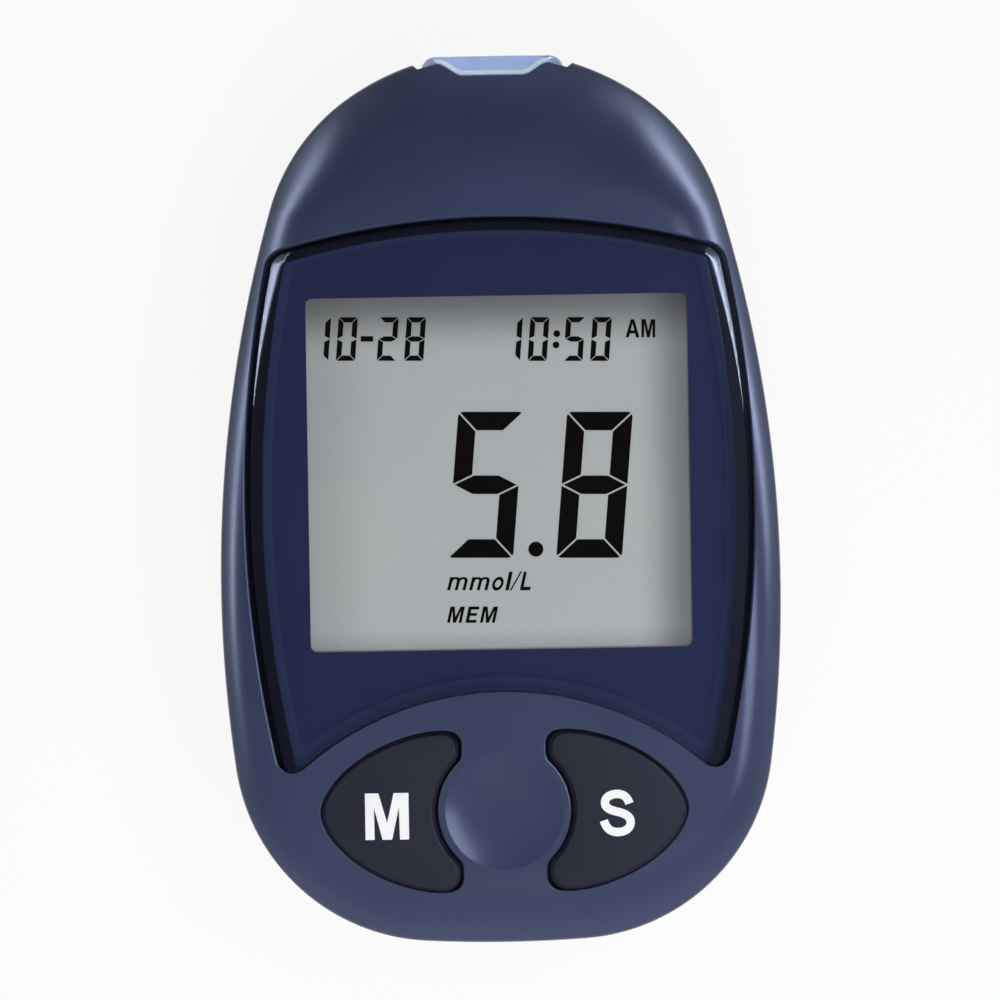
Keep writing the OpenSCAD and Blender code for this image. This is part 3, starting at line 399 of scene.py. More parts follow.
def scoop_plan(inset, y_far):
    """The housing's edge around the port: notch, horn and scoop, open towards the head."""
    run = HORN_X - SCOOP_W / 2
    rise = HORN_Y - SCOOP_Y
    right = []
    for k in range(13):
        t = k / 12
        out = at(-rise * 6 * t * (1 - t) / run, 1).normalized()
        right.append(at(SCOOP_W / 2 + run * t, SCOOP_Y + rise * ease(t)) + inset * out)
    if inset > 0:
        right.append(at(right[-1].x + TROUGH_FLARE, y_far))
    else:
        outer = NOTCH_X + NOTCH_W
        right += [at(NOTCH_X, NOTCH_Y), at(outer, NOTCH_Y + NOTCH_RISE), at(outer, y_far)]
    return both_halves(right)


def port_plan(inset):
    corner = at(PORT_W / 2 - PORT_CORNER, FACE_Y - PORT_CORNER)
    right = [corner + (PORT_CORNER - inset) * unit(90 * k / 12) for k in range(13)]
    right.append(at(PORT_W / 2 - inset, PORT_Y0 + inset))
    return both_halves(right)


# ---------------- meshes

def lift(outline, z):
    return [(p[0], p[1], z) for p in outline]


def loft(rings, low_tip=None, high_tip=None):
    """Points and faces of a closed solid through rings of equally many points."""
    n = len(rings[0])
    points = [tuple(p) for ring in rings for p in ring]
    faces = []
    for i in range(len(rings) - 1):
        for j in range(n):
            a = i * n + j
            b = i * n + (j + 1) % n
            faces.append((a, a + n, b + n, b))
    top = (len(rings) - 1) * n
    if low_tip is None:
        faces.append(tuple(range(n)))
    else:
        points.append(tuple(low_tip))
        faces += [(j, (j + 1) % n, len(points) - 1) for j in range(n)]
    if high_tip is None:
        faces.append(tuple(reversed(range(top, top + n))))
    else:
        points.append(tuple(high_tip))
        faces += [(top + (j + 1) % n, top + j, len(points) - 1) for j in range(n)]
    return points, faces


def add_object(name, data):
    obj = bpy.data.objects.new(name, data)
    bpy.context.scene.collection.objects.link(obj)
    return obj


def shape(name, points, faces):
    """An object in millimetres, with its faces turned outward."""
    mesh = bpy.data.meshes.new(name)
    mesh.from_pydata(points, [], faces)
    work = bmesh.new()
    work.from_mesh(mesh)
    bmesh.ops.recalc_face_normals(work, faces=work.faces)
    work.to_mesh(mesh)
    work.free()
    return add_object(name, mesh)


def prism(outline, z0, z1):
    return shape("prism", *loft([lift(outline, z0), lift(outline, z1)]))


def rectangle(x0, x1, y0, y1):
    return [at(x0, y0), at(x0, y1), at(x1, y1), at(x1, y0)]


def disc(centre, r, steps=40):
    return [Vector(centre) + r * unit(360 * k / steps) for k in range(steps)]


def box(x0, x1, y0, y1, z0, z1):
    return prism(rectangle(x0, x1, y0, y1), z0, z1)


def wide_box(w, y0, y1, z0, z1):
    return box(-w / 2, w / 2, y0, y1, z0, z1)


def post(centre, r, z0, z1):
    return prism(disc(centre, r), z0, z1)


def fillet(angle, width, height):
    """How far in and how far down a round edge is, at an angle from its wall to its top."""
    a = radians(angle)
    return width * (1 - cos(a)), height * (1 - sin(a))


def combine(target, others, operation):
    """Joins, cuts or keeps the target with each of the other objects, which are used up."""
    for other in others:
        step = target.modifiers.new("combine", "BOOLEAN")
        step.operation = operation
        step.solver = "EXACT"
        step.object = other
        bpy.context.view_layer.update()
        graph = bpy.context.evaluated_depsgraph_get()
        result = bpy.data.meshes.new_from_object(target.evaluated_get(graph))
        target.modifiers.clear()
        old = target.data
        target.data = result
        bpy.data.meshes.remove(old)
        spent = other.data
        bpy.data.objects.remove(other)
        bpy.data.meshes.remove(spent)
    return target


def finish_piece(obj, name, body, materials, nodes=(), smooth=32):
    """Scales a shape to metres, shades it, gives it its body and materials, and hides the solids
    it takes the place of.
    """
    obj.name = name
    obj.data.name = name
    obj.data.transform(Matrix.Scale(MM, 4))
    for face in obj.data.polygons:
        face.use_smooth = True
    obj.data.set_sharp_from_angle(angle=radians(smooth))
    kept = [face.material_index for face in obj.data.polygons]
    obj.data.materials.clear()
    for material in materials:
        obj.data.materials.append(material)
    for face, index in zip(obj.data.polygons, kept):
        face.material_index = min(index, len(materials) - 1)
    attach(obj, body)
    if nodes:
        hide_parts(*nodes)


# ---------------- materials

class Tree:
    """The nodes of a material or a world, with short ways to add them and to feed them."""

    def __init__(self, owner, main):
        owner.use_nodes = True
        self.owner = owner
        self.nodes = owner.node_tree.nodes
        self.links = owner.node_tree.links
        self.main = self.nodes[main]

    def feed(self, socket, value):
        """Joins a socket to another node's output, or gives it a plain value."""
        if isinstance(value, bpy.types.NodeSocket):
            self.links.new(value, socket)
        elif socket.type == "RGBA":
            socket.default_value = (*value, 1)
        else:
            socket.default_value = value

    def put(self, node, *feeds, **settings):
        """Sets a node: small names are its modes, From_Min is its socket "From Min"."""
        for name, value in settings.items():
            if name[0].islower():
                setattr(node, name, value)
            else:
                self.feed(node.inputs[name.replace("_", " ")], value)
        for socket, value in zip(node.inputs, feeds):
            self.feed(socket, value)
        return node

    def add(self, kind, output, *feeds, **settings):
        node = self.nodes.new("ShaderNode" + kind)
        return self.put(node, *feeds, **settings).outputs[output]

    def coat(self, **settings):
        """Sets the main shader's own sockets, and hands the material over."""
        self.put(self.main, **settings)
        return self.owner

    def show(self, shader):
        self.links.new(shader, self.nodes["Material Output"].inputs["Surface"])
        return self.owner

    def place(self):
        return self.add("TexCoord", "Object")

    def split(self, vector):
        node = self.nodes.new("ShaderNodeSeparateXYZ")
        return self.put(node, vector).outputs

    def ramp(self, factor, *stops):
        """A colour for every value of the factor, from stops of a position and a colour."""
        node = self.nodes.new("ShaderNodeValToRGB")
        elements = node.color_ramp.elements
        while len(elements) < len(stops):
            elements.new(0.5)
        for element, (position, colour) in zip(elements, stops):
            element.position = position
            element.color = (*colour, 1)
        return self.put(node, factor).outputs["Color"]

    def two_tone(self, factor, low, high, start=0.35, end=0.65):
        return self.ramp(factor, (start, low), (end, high))

    def noise(self, scale, detail, stretch=None):
        """A noise pattern fixed to the object, whose scale counts per metre."""
        where = self.place()
        if stretch is not None:
            where = self.add("Mapping", "Vector", where, Scale=stretch)
        return self.add("TexNoise", "Fac", Vector=where, Scale=scale, Detail=detail)

    def spread(self, factor, low, high):
        return self.add("MapRange", "Result", factor, 0.3, 0.7, low, high)

    def fall_off(self, value, edge, width, low):
        """1 away from an edge, falling to the low value at it; a negative width falls upward."""
        return self.add("MapRange", "Result", value, edge, edge + width, low, 1.0,
                        interpolation_type="SMOOTHSTEP")

    def math(self, operation, a, b):
        return self.add("Math", "Value", a, b, operation=operation)

    def mix(self, share, first, second):
        return self.add("MixShader", "Shader", share, first, second)

    def grain(self, scale, height):
        return self.add("Bump", "Normal", Strength=1.0, Distance=height,
                        Height=self.noise(scale, 2.0))


def new_tree(name):
    return Tree(bpy.data.materials.new(name), "Principled BSDF")


def moulded(name, low, high, rough, grain, height, patch=150.0, **more):
    """Moulded plastic: two close tones in soft patches, fine grain, slightly uneven gloss."""
    tree = new_tree(name)
    patches = tree.noise(patch, 1.0)
    return tree.coat(Base_Color=tree.two_tone(patches, low, high, 0.25, 0.75),
                     Roughness=tree.spread(patches, *rough),
                     Normal=tree.grain(grain, height), **more)


def housing_material():
    return moulded("navy_satin_plastic", (0.0415, 0.053, 0.114), (0.0445, 0.057, 0.121),
                   (0.24, 0.27), 5200.0, 0.0000025, Specular_IOR_Level=0.22)


def key_material():
    return moulded("dark_key_plastic", (0.0200, 0.0215, 0.0355), (0.0225, 0.0240, 0.0390),
                   (0.5, 0.56), 6500.0, 0.000004, Specular_IOR_Level=0.10)


def letter_material():
    return moulded("white_key_ink", (0.93, 0.935, 0.94), (0.96, 0.96, 0.965),
                   (0.45, 0.55), 4000.0, 0.000002)


def mask_material():
    return moulded("window_border_ink", (0.0215, 0.0270, 0.0805), (0.0235, 0.0295, 0.0865),
                   (0.5, 0.6), 7000.0, 0.000001, Specular_IOR_Level=0.06)


# Painted shade: the window's bevel and groove are coloured near-black, standing in for the shaded
# recess seen through the clear bevel.
def painted_shade_groove_material():
    return moulded("window_groove_painted_shade", (0.0072, 0.0088, 0.0165), (0.0086, 0.0104, 0.0195),
                   (0.5, 0.6), 900.0, 0.000001, Specular_IOR_Level=0.03)


def segment_material():
    return moulded("display_segment_black", (0.0040, 0.0028, 0.0020), (0.0052, 0.0036, 0.0027),
                   (0.5, 0.6), 6000.0, 0.000001, Specular_IOR_Level=0.0)


def chip_material():
    return moulded("moulded_epoxy", (0.016, 0.016, 0.018), (0.026, 0.026, 0.028),
                   (0.5, 0.66), 5000.0, 0.00001, 500.0)


def component_material():
    return moulded("ceramic_body", (0.40, 0.31, 0.20), (0.50, 0.40, 0.27),
                   (0.4, 0.5), 4000.0, 0.000005, 900.0)


def white_plastic_material():
    return moulded("white_moulding", (0.70, 0.70, 0.67), (0.78, 0.78, 0.76),
                   (0.42, 0.5), 4000.0, 0.000005)


def painted_glow_port_material(name, low, high, glow):
    """Translucent plastic with a little subsurface scatter; its emission is a painted glow that
    stands in for light carried through it.
    """
    return moulded(name, low, high, (0.24, 0.32), 3000.0, 0.000004, 420.0,
                   Subsurface_Weight=0.12, Subsurface_Radius=(0.9, 0.95, 1.0),
                   Subsurface_Scale=0.001, Specular_IOR_Level=0.4,
                   Emission_Color=glow, Emission_Strength=1.0)


# The collar's emission is a faint painted glow.
def collar_material():
    return painted_glow_port_material("port_blue_plastic_painted_glow", (0.44, 0.575, 0.90), (0.47, 0.60, 0.92),
                         (0.050, 0.058, 0.052))


# The lip's emission is a brighter painted glow.
def collar_lip_material():
    return painted_glow_port_material("port_lip_plastic_painted_glow", (0.64, 0.77, 0.99), (0.66, 0.79, 1.0),
                         (0.20, 0.23, 0.27))


def see_through(name, tints, least, base, metallic, rough):
    """Clear plastic: what lies behind shows through, and its gloss grows at a slant."""
    tree = new_tree(name)
    tree.coat(Base_Color=base, Metallic=metallic, Roughness=rough, IOR=1.49)
    clear = tree.add("BsdfTransparent", "BSDF", tree.two_tone(tree.noise(60.0, 1.0), *tints))
    slant = tree.math("POWER", tree.add("LayerWeight", "Facing", Blend=0.5), 5.0)
    gloss = tree.add("MapRange", "Result", slant, To_Min=least, To_Max=0.95)
    return tree.show(tree.mix(gloss, clear, tree.main.outputs["BSDF"]))


CLEAR_TINTS = ((0.955, 0.965, 0.985), (0.97, 0.975, 0.99))


def window_material():
    return see_through("clear_window_plastic", CLEAR_TINTS, 0.016, (0.93, 0.95, 1.0), 1.0, 0.03)


def painted_glow_band_material():
    """A narrow band beside the bevel, painted lighter blue: a painted glow from inside the window,
    and along the foot painted light over the shade of the housing's edge.
    """
    return see_through("window_band_painted_glow", CLEAR_TINTS, 0.10, (0.075, 0.130, 0.260), 0.0, 0.17)


def window_streak_material():
    """The bright polished slope of the window at its top corners."""
    return see_through("window_streak_plastic", ((0.93, 0.95, 0.985), (0.95, 0.965, 0.99)),
                       0.5, (0.030, 0.042, 0.065), 0.0, 0.17)


# The frame's painted shade along the display's edges: its width, in m, and the light left at the
# edge
SHADE_TOP, SHADE_FOOT = (-0.0060, 0.33), (0.0024, 0.76)
SHADE_RIGHT, SHADE_LEFT = (-0.0056, 0.38), (0.0080, 0.80)


def display_material():
    """The grey face of the display: a fine dot grain, and painted shade along its edges, where the
    frame would shade it.
    """
    tree = new_tree("display_grey")
    tone = tree.two_tone(tree.noise(9000.0, 1.0), (0.562, 0.572, 0.537), (0.592, 0.602, 0.565))
    where = tree.split(tree.place())
    half = APERTURE_W / 2 * MM
    top = tree.fall_off(where["Y"], APERTURE_Y1 * MM, *SHADE_TOP)
    foot = tree.fall_off(where["Y"], APERTURE_Y0 * MM, *SHADE_FOOT)
    right = tree.fall_off(where["X"], half, *SHADE_RIGHT)
    left = tree.fall_off(where["X"], -half, *SHADE_LEFT)
    upright = tree.math("MULTIPLY", top, foot)
    light = tree.math("MULTIPLY", tree.math("MULTIPLY", right, left), upright)
    # Painted shade: the grey darkens toward this near-black along the edges.
    shaded = tree.add("Mix", "Result", data_type="RGBA", Factor=light,
                      A=(0.010, 0.010, 0.014), B=tone)
    return tree.coat(Base_Color=shaded, Roughness=0.5, Specular_IOR_Level=0.1,
                     Normal=tree.grain(9000.0, 0.000001))


def plain_glass_material():
    """The display's glass sheets, which are hidden behind its grey face."""
    tree = new_tree("display_glass")
    tone = tree.two_tone(tree.noise(300.0, 2.0), (0.55, 0.63, 0.62), (0.60, 0.68, 0.67))
    return tree.coat(Base_Color=tone, Roughness=0.08, Alpha=0.45)


def board_material():
    """Green solder mask with faint tracks under it."""
    tree = new_tree("board_green")
    tracks = tree.add("TexBrick", "Color", tree.place(), Scale=180.0, Mortar_Size=0.03,
                      Color1=(0.018, 0.150, 0.062), Color2=(0.022, 0.170, 0.070),
                      Mortar=(0.06, 0.28, 0.12))
    return tree.coat(Base_Color=tracks, Roughness=0.35, Normal=tree.grain(2500.0, 0.000003))


def metal_material(name, low, high, rough, stretch):
    """Plated metal with fine drawing marks along one axis."""
    tree = new_tree(name)
    marks = tree.noise(1200.0, 3.0, stretch)
    return tree.coat(Base_Color=tree.two_tone(marks, low, high),
                     Roughness=tree.spread(marks, *rough), Metallic=1.0)


def nickel_material():
    return metal_material("nickel_plate", (0.56, 0.55, 0.53), (0.68, 0.67, 0.65),
                          (0.22, 0.34), (6.0, 0.6, 1.0))


def gold_material():
    return metal_material("gold_plate", (0.72, 0.50, 0.18), (0.86, 0.64, 0.28),
                          (0.2, 0.3), (4.0, 0.6, 1.0))


def rubber_material():
    """Layered elastomer strip: thin light and dark layers across its length."""
    tree = new_tree("contact_rubber")
    layers = tree.add("TexWave", "Fac", tree.place(), Scale=900.0, Distortion=0.4)
    return tree.coat(Base_Color=tree.two_tone(layers, (0.42, 0.16, 0.12), (0.62, 0.30, 0.24)),
                     Roughness=0.75)


def cell_material():
    """A plain printed sleeve: a dark wrap with a copper-coloured band near one end."""
    tree = new_tree("cell_sleeve")
    along = tree.split(tree.place())["Y"]
    band = tree.add("MapRange", "Result", along, -0.0010, -0.0008)
    return tree.coat(Base_Color=tree.two_tone(band, (0.05, 0.06, 0.085), (0.42, 0.22, 0.09)),
                     Roughness=tree.spread(tree.noise(260.0, 3.0), 0.26, 0.36), Metallic=0.35)


# ---------------- shells

def front_profile(station):
    """The front's edge from the wall to the crown: how far inside the outline, how far down."""
    turn = station[2]
    width = round_body(turn, SIDE_EDGE, HEAD_EDGE, FOOT_EDGE, HEAD_EDGE_BLEND)
    slope = round_body(turn, SIDE_SLOPE, HEAD_SLOPE, FOOT_SLOPE, HEAD_EDGE_BLEND)
    tilt = atan(1 / slope)
    start = EDGE_R * (1 - cos(tilt))
    reach = width - start
    low = slope * reach / 2 + EDGE_R * sin(tilt)
    points = []
    for k in range(9):
        a = tilt * k / 8
        points.append((EDGE_R * (1 - cos(a)), low - EDGE_R * sin(a)))
    for k in range(1, 19):
        left = 1 - (k / 18) ** 1.3
        points.append((width - reach * left, slope * reach * left * left / 2))
    return points


def front_edge_rings():
    """The rounded edge of the front: a small round, then an even fall that flattens inward."""
    rings = [[] for _ in front_profile(STATIONS[0])]
    for station in STATIONS:
        for ring, (across, fall) in zip(rings, front_profile(station)):
            p = spot(station, WALL_LEAN + across)
            ring.append((p.x, p.y, crown(p.x, p.y) - fall))
    return rings


def inner_point(station, angle, inset, ceiling):
    """A point on the front's inner face: angle 0 leaves the wall, 90 reaches the crown."""
    turn = station[2]
    width = round_body(turn, SIDE_EDGE, HEAD_EDGE, FOOT_EDGE)
    drop = round_body(turn, SIDE_DROP, HEAD_DROP, FOOT_DROP)
    across, down = fillet(angle, width, drop)
    p = spot(station, inset + EDGE_DRAFT + across)
    z = crown(p.x, p.y) - inset - down
    return p.x, p.y, max(SPLIT_Z + 0.2, min(z, ceiling))


def shrunk(outline, share):
    """A smaller copy of an outline about the display's middle, laid on the crown."""
    points = [(p[0] * share, MID_Y + (p[1] - MID_Y) * share) for p in outline]
    return [(x, y, crown(x, y)) for x, y in points]


def front_solid():
    rings = [lift(plan(SPLIT_GROOVE), SPLIT_Z), lift(plan(0), SPLIT_Z + SPLIT_GROOVE)]
    rings += front_edge_rings()
    edge = rings[-1]
    rings += [shrunk(edge, share) for share in (0.85, 0.7, 0.52, 0.35, 0.18)]
    return loft(rings, high_tip=(0, MID_Y, crown(0, MID_Y)))


def front_hollow():
    """The room inside the front shell, around its screw bosses and the shelf over the port."""
    rings = [lift(plan(WALL_T), SPLIT_Z - 1)]
    for angle in (0, 20, 40, 60, 75):
        rings.append([inner_point(s, angle, WALL_T, DECK_Z) for s in STATIONS])
    kept = [post(p, BOSS_R, BOARD_TOP, FAR) for p in SCREW_SPOTS]
    kept.append(wide_box(PORT_W + 2 * PORT_WALL, PORT_Y0 + PORT_SHELF, FAR, PORT_TOP, FAR))
    return combine(shape("inside", *loft(rings)), kept, "DIFFERENCE")


def surface_finder():
    """A function that gives the height of the front's outer surface over a point."""
    points, faces = front_solid()
    tree = BVHTree.FromPolygons([Vector(p) for p in points], faces)

    def height(p):
        hit = tree.ray_cast(Vector((p[0], p[1], 100.0)), Vector((0, 0, -1)))
        return hit[0].z if hit[0] is not None else SPLIT_Z
    return height


def flared_cutter(outline_at, floor_z, radius, height):
    """A cutter that leaves a small rounded edge where it meets the front's surface."""
    edge = [fillet(FLARE_END * k / 6, radius, radius) for k in range(7)]
    widest = edge[-1][0]
    heights = [height(p) for p in outline_at(widest)]
    rings = [lift(outline_at(0), floor_z)]
    for across, down in edge + [(widest, -2)]:
        rings.append([(p.x, p.y, h - down) for p, h in zip(outline_at(across), heights)])
    return shape("flared", *loft(rings))


def window_opening(grow):
    return window_plan(-FIT - grow, -FIT - grow, -WINDOW_FOOT_LAP - 0.2 * grow)


def key_opening(hand):
    def outline(grow):
        return at_pad(key_plan(KEY_GAP + grow, KEY_HOLLOW_GAP + grow, KEY_TIP_R + grow), hand)
    return outline


def dimple_cutter():
    """A shallow dish, flatter than a sphere in its middle and steeper near its rim."""
    profile = [(r / 18, DISH_D * (1 - (r / 18) ** 2.4)) for r in range(1, 19)]
    profile += [(1.010, -0.010), (1.02, -0.02)]
    rings = []
    for share, depth in profile:
        outline = [share * DIMPLE_R * unit(360 * k / 72) for k in range(72)]
        outline = [(p.x, p.y + PAD_Y) for p in outline]
        rings.append([(x, y, crown(x, y) - depth) for x, y in outline])
    rings.append([(x, y, z + 3) for x, y, z in rings[-1]])
    return shape("dish", *loft(rings, low_tip=(0, PAD_Y, crown(0, PAD_Y) - DISH_D)))


def port_flange(grow):
    half = PORT_W / 2 + PORT_FLANGE_W + grow
    return box(-half, half, PORT_FLANGE_Y - grow, PORT_FLANGE_Y + PORT_FLANGE_L + grow,
               PORT_Z - grow, PORT_TOP + grow)


def port_space(grow):
    return [prism(port_plan(-grow), PORT_Z - grow, PORT_TOP + grow), port_flange(grow)]


def build_front_shell(material):
    height = surface_finder()
    cuts = [
        front_hollow(),
        prism(plan(LIP_IN - FIT), SPLIT_Z - 1, SPLIT_Z + LIP_H + FIT),
        flared_cutter(window_opening, LEDGE_Z, WINDOW_FLARE, height),
        wide_box(GLASS_W + 2 * GLASS_ROOM, GLASS_Y0 - GLASS_ROOM, GLASS_Y1 + GLASS_ROOM,
                 BOARD_TOP, FAR),
        wide_box(GLASS_W + 2 * FRAME_T, GLASS_Y0 - FRAME_T, GLASS_Y1 + FRAME_T, BOARD_Z, DECK_Z),
    ]
    for hand in (-1, 1):
        pocket = at_pad(key_plan(POCKET_OUT, POCKET_OUT, KEY_TIP_R), hand)
        cuts.append(prism(pocket, BOARD_Z, KEY_DECK - KEY_FLOOR_T))
        cuts.append(flared_cutter(key_opening(hand), BOARD_Z, KEY_FLARE, height))
    cuts.append(dimple_cutter())
    cuts += port_space(FIT)
    cuts.append(prism(scoop_plan(0, APEX_Y + 1), PORT_Z, FAR))
    cuts += [post(p, SCREW_R + SCREW_FIT, BOARD_Z, DECK_Z + FIT) for p in SCREW_SPOTS]
    shell = combine(shape("front", *front_solid()), cuts, "DIFFERENCE")
    finish_piece(shell, "front_shell", "housing", [material], ["front_housing"],
                 smooth=22)


def back_ring(angle, inset, floor_z):
    ring = []
    for station in STATIONS:
        edge = round_body(station[2], BACK_EDGE, BACK_HEAD_EDGE, BACK_EDGE)
        across, rise = fillet(angle, edge, SPLIT_Z - floor_z)
        p = spot(station, inset + across)
        ring.append((p.x, p.y, floor_z + rise))
    return ring


def back_solid():
    rings = [back_ring(90 - 5 * k, 0, 0) for k in range(18)]
    rings.append(lift(plan(0), SPLIT_Z - SPLIT_GROOVE))
    rings.append(lift(plan(SPLIT_GROOVE), SPLIT_Z))
    return shape("back", *loft(rings))


def back_inside():
    rings = [back_ring(angle, WALL_T, DOOR_T) for angle in (90, 75, 60, 45, 30, 15, 0)]
    rings.append(lift(plan(WALL_T), SPLIT_Z + 1))
    return shape("inside", *loft(rings))


def bay_block(z0):
    return wide_box(2 * (BAY_HALF + BAY_WALL), BAY_Y0 - BAY_WALL, BAY_Y1 + BAY_WALL, z0, TUB_TOP)


def back_hollow():
    """The room inside the rear shell, around its bay, rails, port seat and screw pillars."""
    kept = [
        wide_box(2 * RAIL_W, RAIL_Y0, RAIL_Y1, 0, DOOR_T + BAY_WALL),
        bay_block(0),
        wide_box(DOOR_W + 2 * BAY_WALL, FOOT_Y, BAY_Y0, 0, DOOR_END_Z + DOOR_END_WALL),
        wide_box(PORT_W + 2 * PORT_WALL, PORT_Y0, FACE_Y, 0, SPLIT_Z),
    ]
    kept += [post(p, PILLAR_R, 0, SCREW_SEAT_Z + SEAT_T) for p in SCREW_SPOTS]
    return combine(back_inside(), kept, "DIFFERENCE")


def door_cuts():
    """The opening that the door slides in, with the grooves for its tongues."""
    half = DOOR_W / 2 + DOOR_GAP
    end = DOOR_Y1 + DOOR_GAP
    top = DOOR_T + DOOR_GAP
    return [
        wide_box(2 * half, -FAR, end, -1, top),
        wide_box(2 * half, -FAR, BAY_Y0 - BAY_WALL, -1, DOOR_END_Z + DOOR_GAP),
        wide_box(2 * half, -FAR, BAY_Y0 + DOOR_STEP_L, -1, DOOR_T + 1),
        wide_box(2 * FAR, FACE_Y - NOTCH_CUT, FAR, -1, FAR),
        wide_box(2 * (half + TONGUE_W), -FAR, end, TONGUE_Z - DOOR_GAP, top),
    ]


def notch_cuts():
    """Both notches beside the port, cut through so that what lies behind shows."""
    inner = HORN_X + NOTCH_CUT
    outer = NOTCH_X + NOTCH_W
    notch = [at(inner, FACE_Y - NOTCH_CUT), at(inner, FAR), at(outer, FAR),
             at(outer, NOTCH_Y + NOTCH_RISE), at(NOTCH_X, NOTCH_Y), at(PORT_W / 2, NOTCH_Y)]
    return [prism(outline, -1, SPLIT_Z + 1)
            for outline in (notch, [flip(p) for p in reversed(notch)])]


def build_rear_shell(material):
    shell = combine(back_solid(), [back_hollow()], "DIFFERENCE")
    lip = combine(prism(plan(LIP_IN), SPLIT_Z - 1, SPLIT_Z + LIP_H),
                  [prism(plan(LIP_IN + LIP_T), SPLIT_Z - 2, SPLIT_Z + 2)], "DIFFERENCE")
    bosses = [post(p, BOSS_R, SCREW_SEAT_Z, BOARD_Z) for p in SCREW_SPOTS]
    combine(shell, [bay_block(SPLIT_Z - 1), lip] + bosses, "UNION")
    cuts = port_space(FIT)
    cuts.append(wide_box(PORT_W + 2 * FIT, PORT_Y0 - FIT, FAR, PORT_Z - FIT, FAR))
    cuts.append(wide_box(2 * BAY_HALF, BAY_Y0, BAY_Y1, -1, BAY_TOP))
    cuts += door_cuts() + notch_cuts()
    for x in (-CELL_X, CELL_X):
        cuts.append(box(x - CLIP_HALF_W, x + CLIP_HALF_W, BAY_Y1 - CLIP_T, BAY_Y1,
                        BAY_TOP - 1, TUB_TOP + 1))
    for p in SCREW_SPOTS:
        cuts.append(post(p, SCREW_HEAD_R + HEAD_ROOM, -1, SCREW_SEAT_Z))
        cuts.append(post(p, SCREW_R + SCREW_FIT, SCREW_SEAT_Z - 1, BOARD_Z + 1))
    combine(shell, cuts, "DIFFERENCE")
    finish_piece(shell, "rear_shell", "housing", [material], ["rear_housing"])


def grip_slot(y):
    """A finger groove with round ends, up to y."""
    r = GRIP_L / 2
    x = GRIP_W / 2 - r
    right = [at(x, y - r) + r * unit(18 * k) for k in range(11)]
    left = [at(-x, y - r) + r * unit(180 + 18 * k) for k in range(11)]
    return prism(right + left, -1, GRIP_D)


def build_door(material):
    door = combine(back_solid(), [wide_box(DOOR_W, -FAR, DOOR_Y1, -1, DOOR_END_Z)], "INTERSECT")
    cuts = [back_inside()]
    cuts += [grip_slot(DOOR_Y1 - GRIP_AT - i * GRIP_PITCH) for i in range(GRIP_N)]
    combine(door, cuts, "DIFFERENCE")
    tongues = []
    for s in (-1, 1):
        edges = sorted((s * (DOOR_W / 2 - FIT), s * (DOOR_W / 2 + TONGUE_W)))
        tongues.append(box(*edges, TONGUE_Y0, TONGUE_Y1, TONGUE_Z, DOOR_T - 0.01))
    combine(door, tongues, "UNION")
    finish_piece(door, "sliding_door", "door", [material], ["battery_door"])


# ---------------- window

def streak_share(p):
    """How much of the bevel is the bright slope: most at the top corners, none at the foot."""
    down_the_side = max(0.0, (p.y - STREAK_Y) / (WINDOW_TOP_Y - STREAK_END - STREAK_Y))
    along_the_top = (abs(p.x) - STREAK_X0) / (STREAK_X1 - STREAK_X0)
    along_the_top = ease(min(1.0, max(0.0, along_the_top)))
    return max(0.01, STREAK_SHARE * min(1.0, down_the_side) ** 1.5 * along_the_top)


def foot_share(p):
    """1 along the arched foot, where the window has no bevel, and 0 at the sides and the top."""
    if p.y > MID_Y:
        return 0.0
    return ease(min(1.0, max(0.0, (WINDOW_CORNER_X + ARCH_LAP - abs(p.x)) / ARCH_BLEND)))


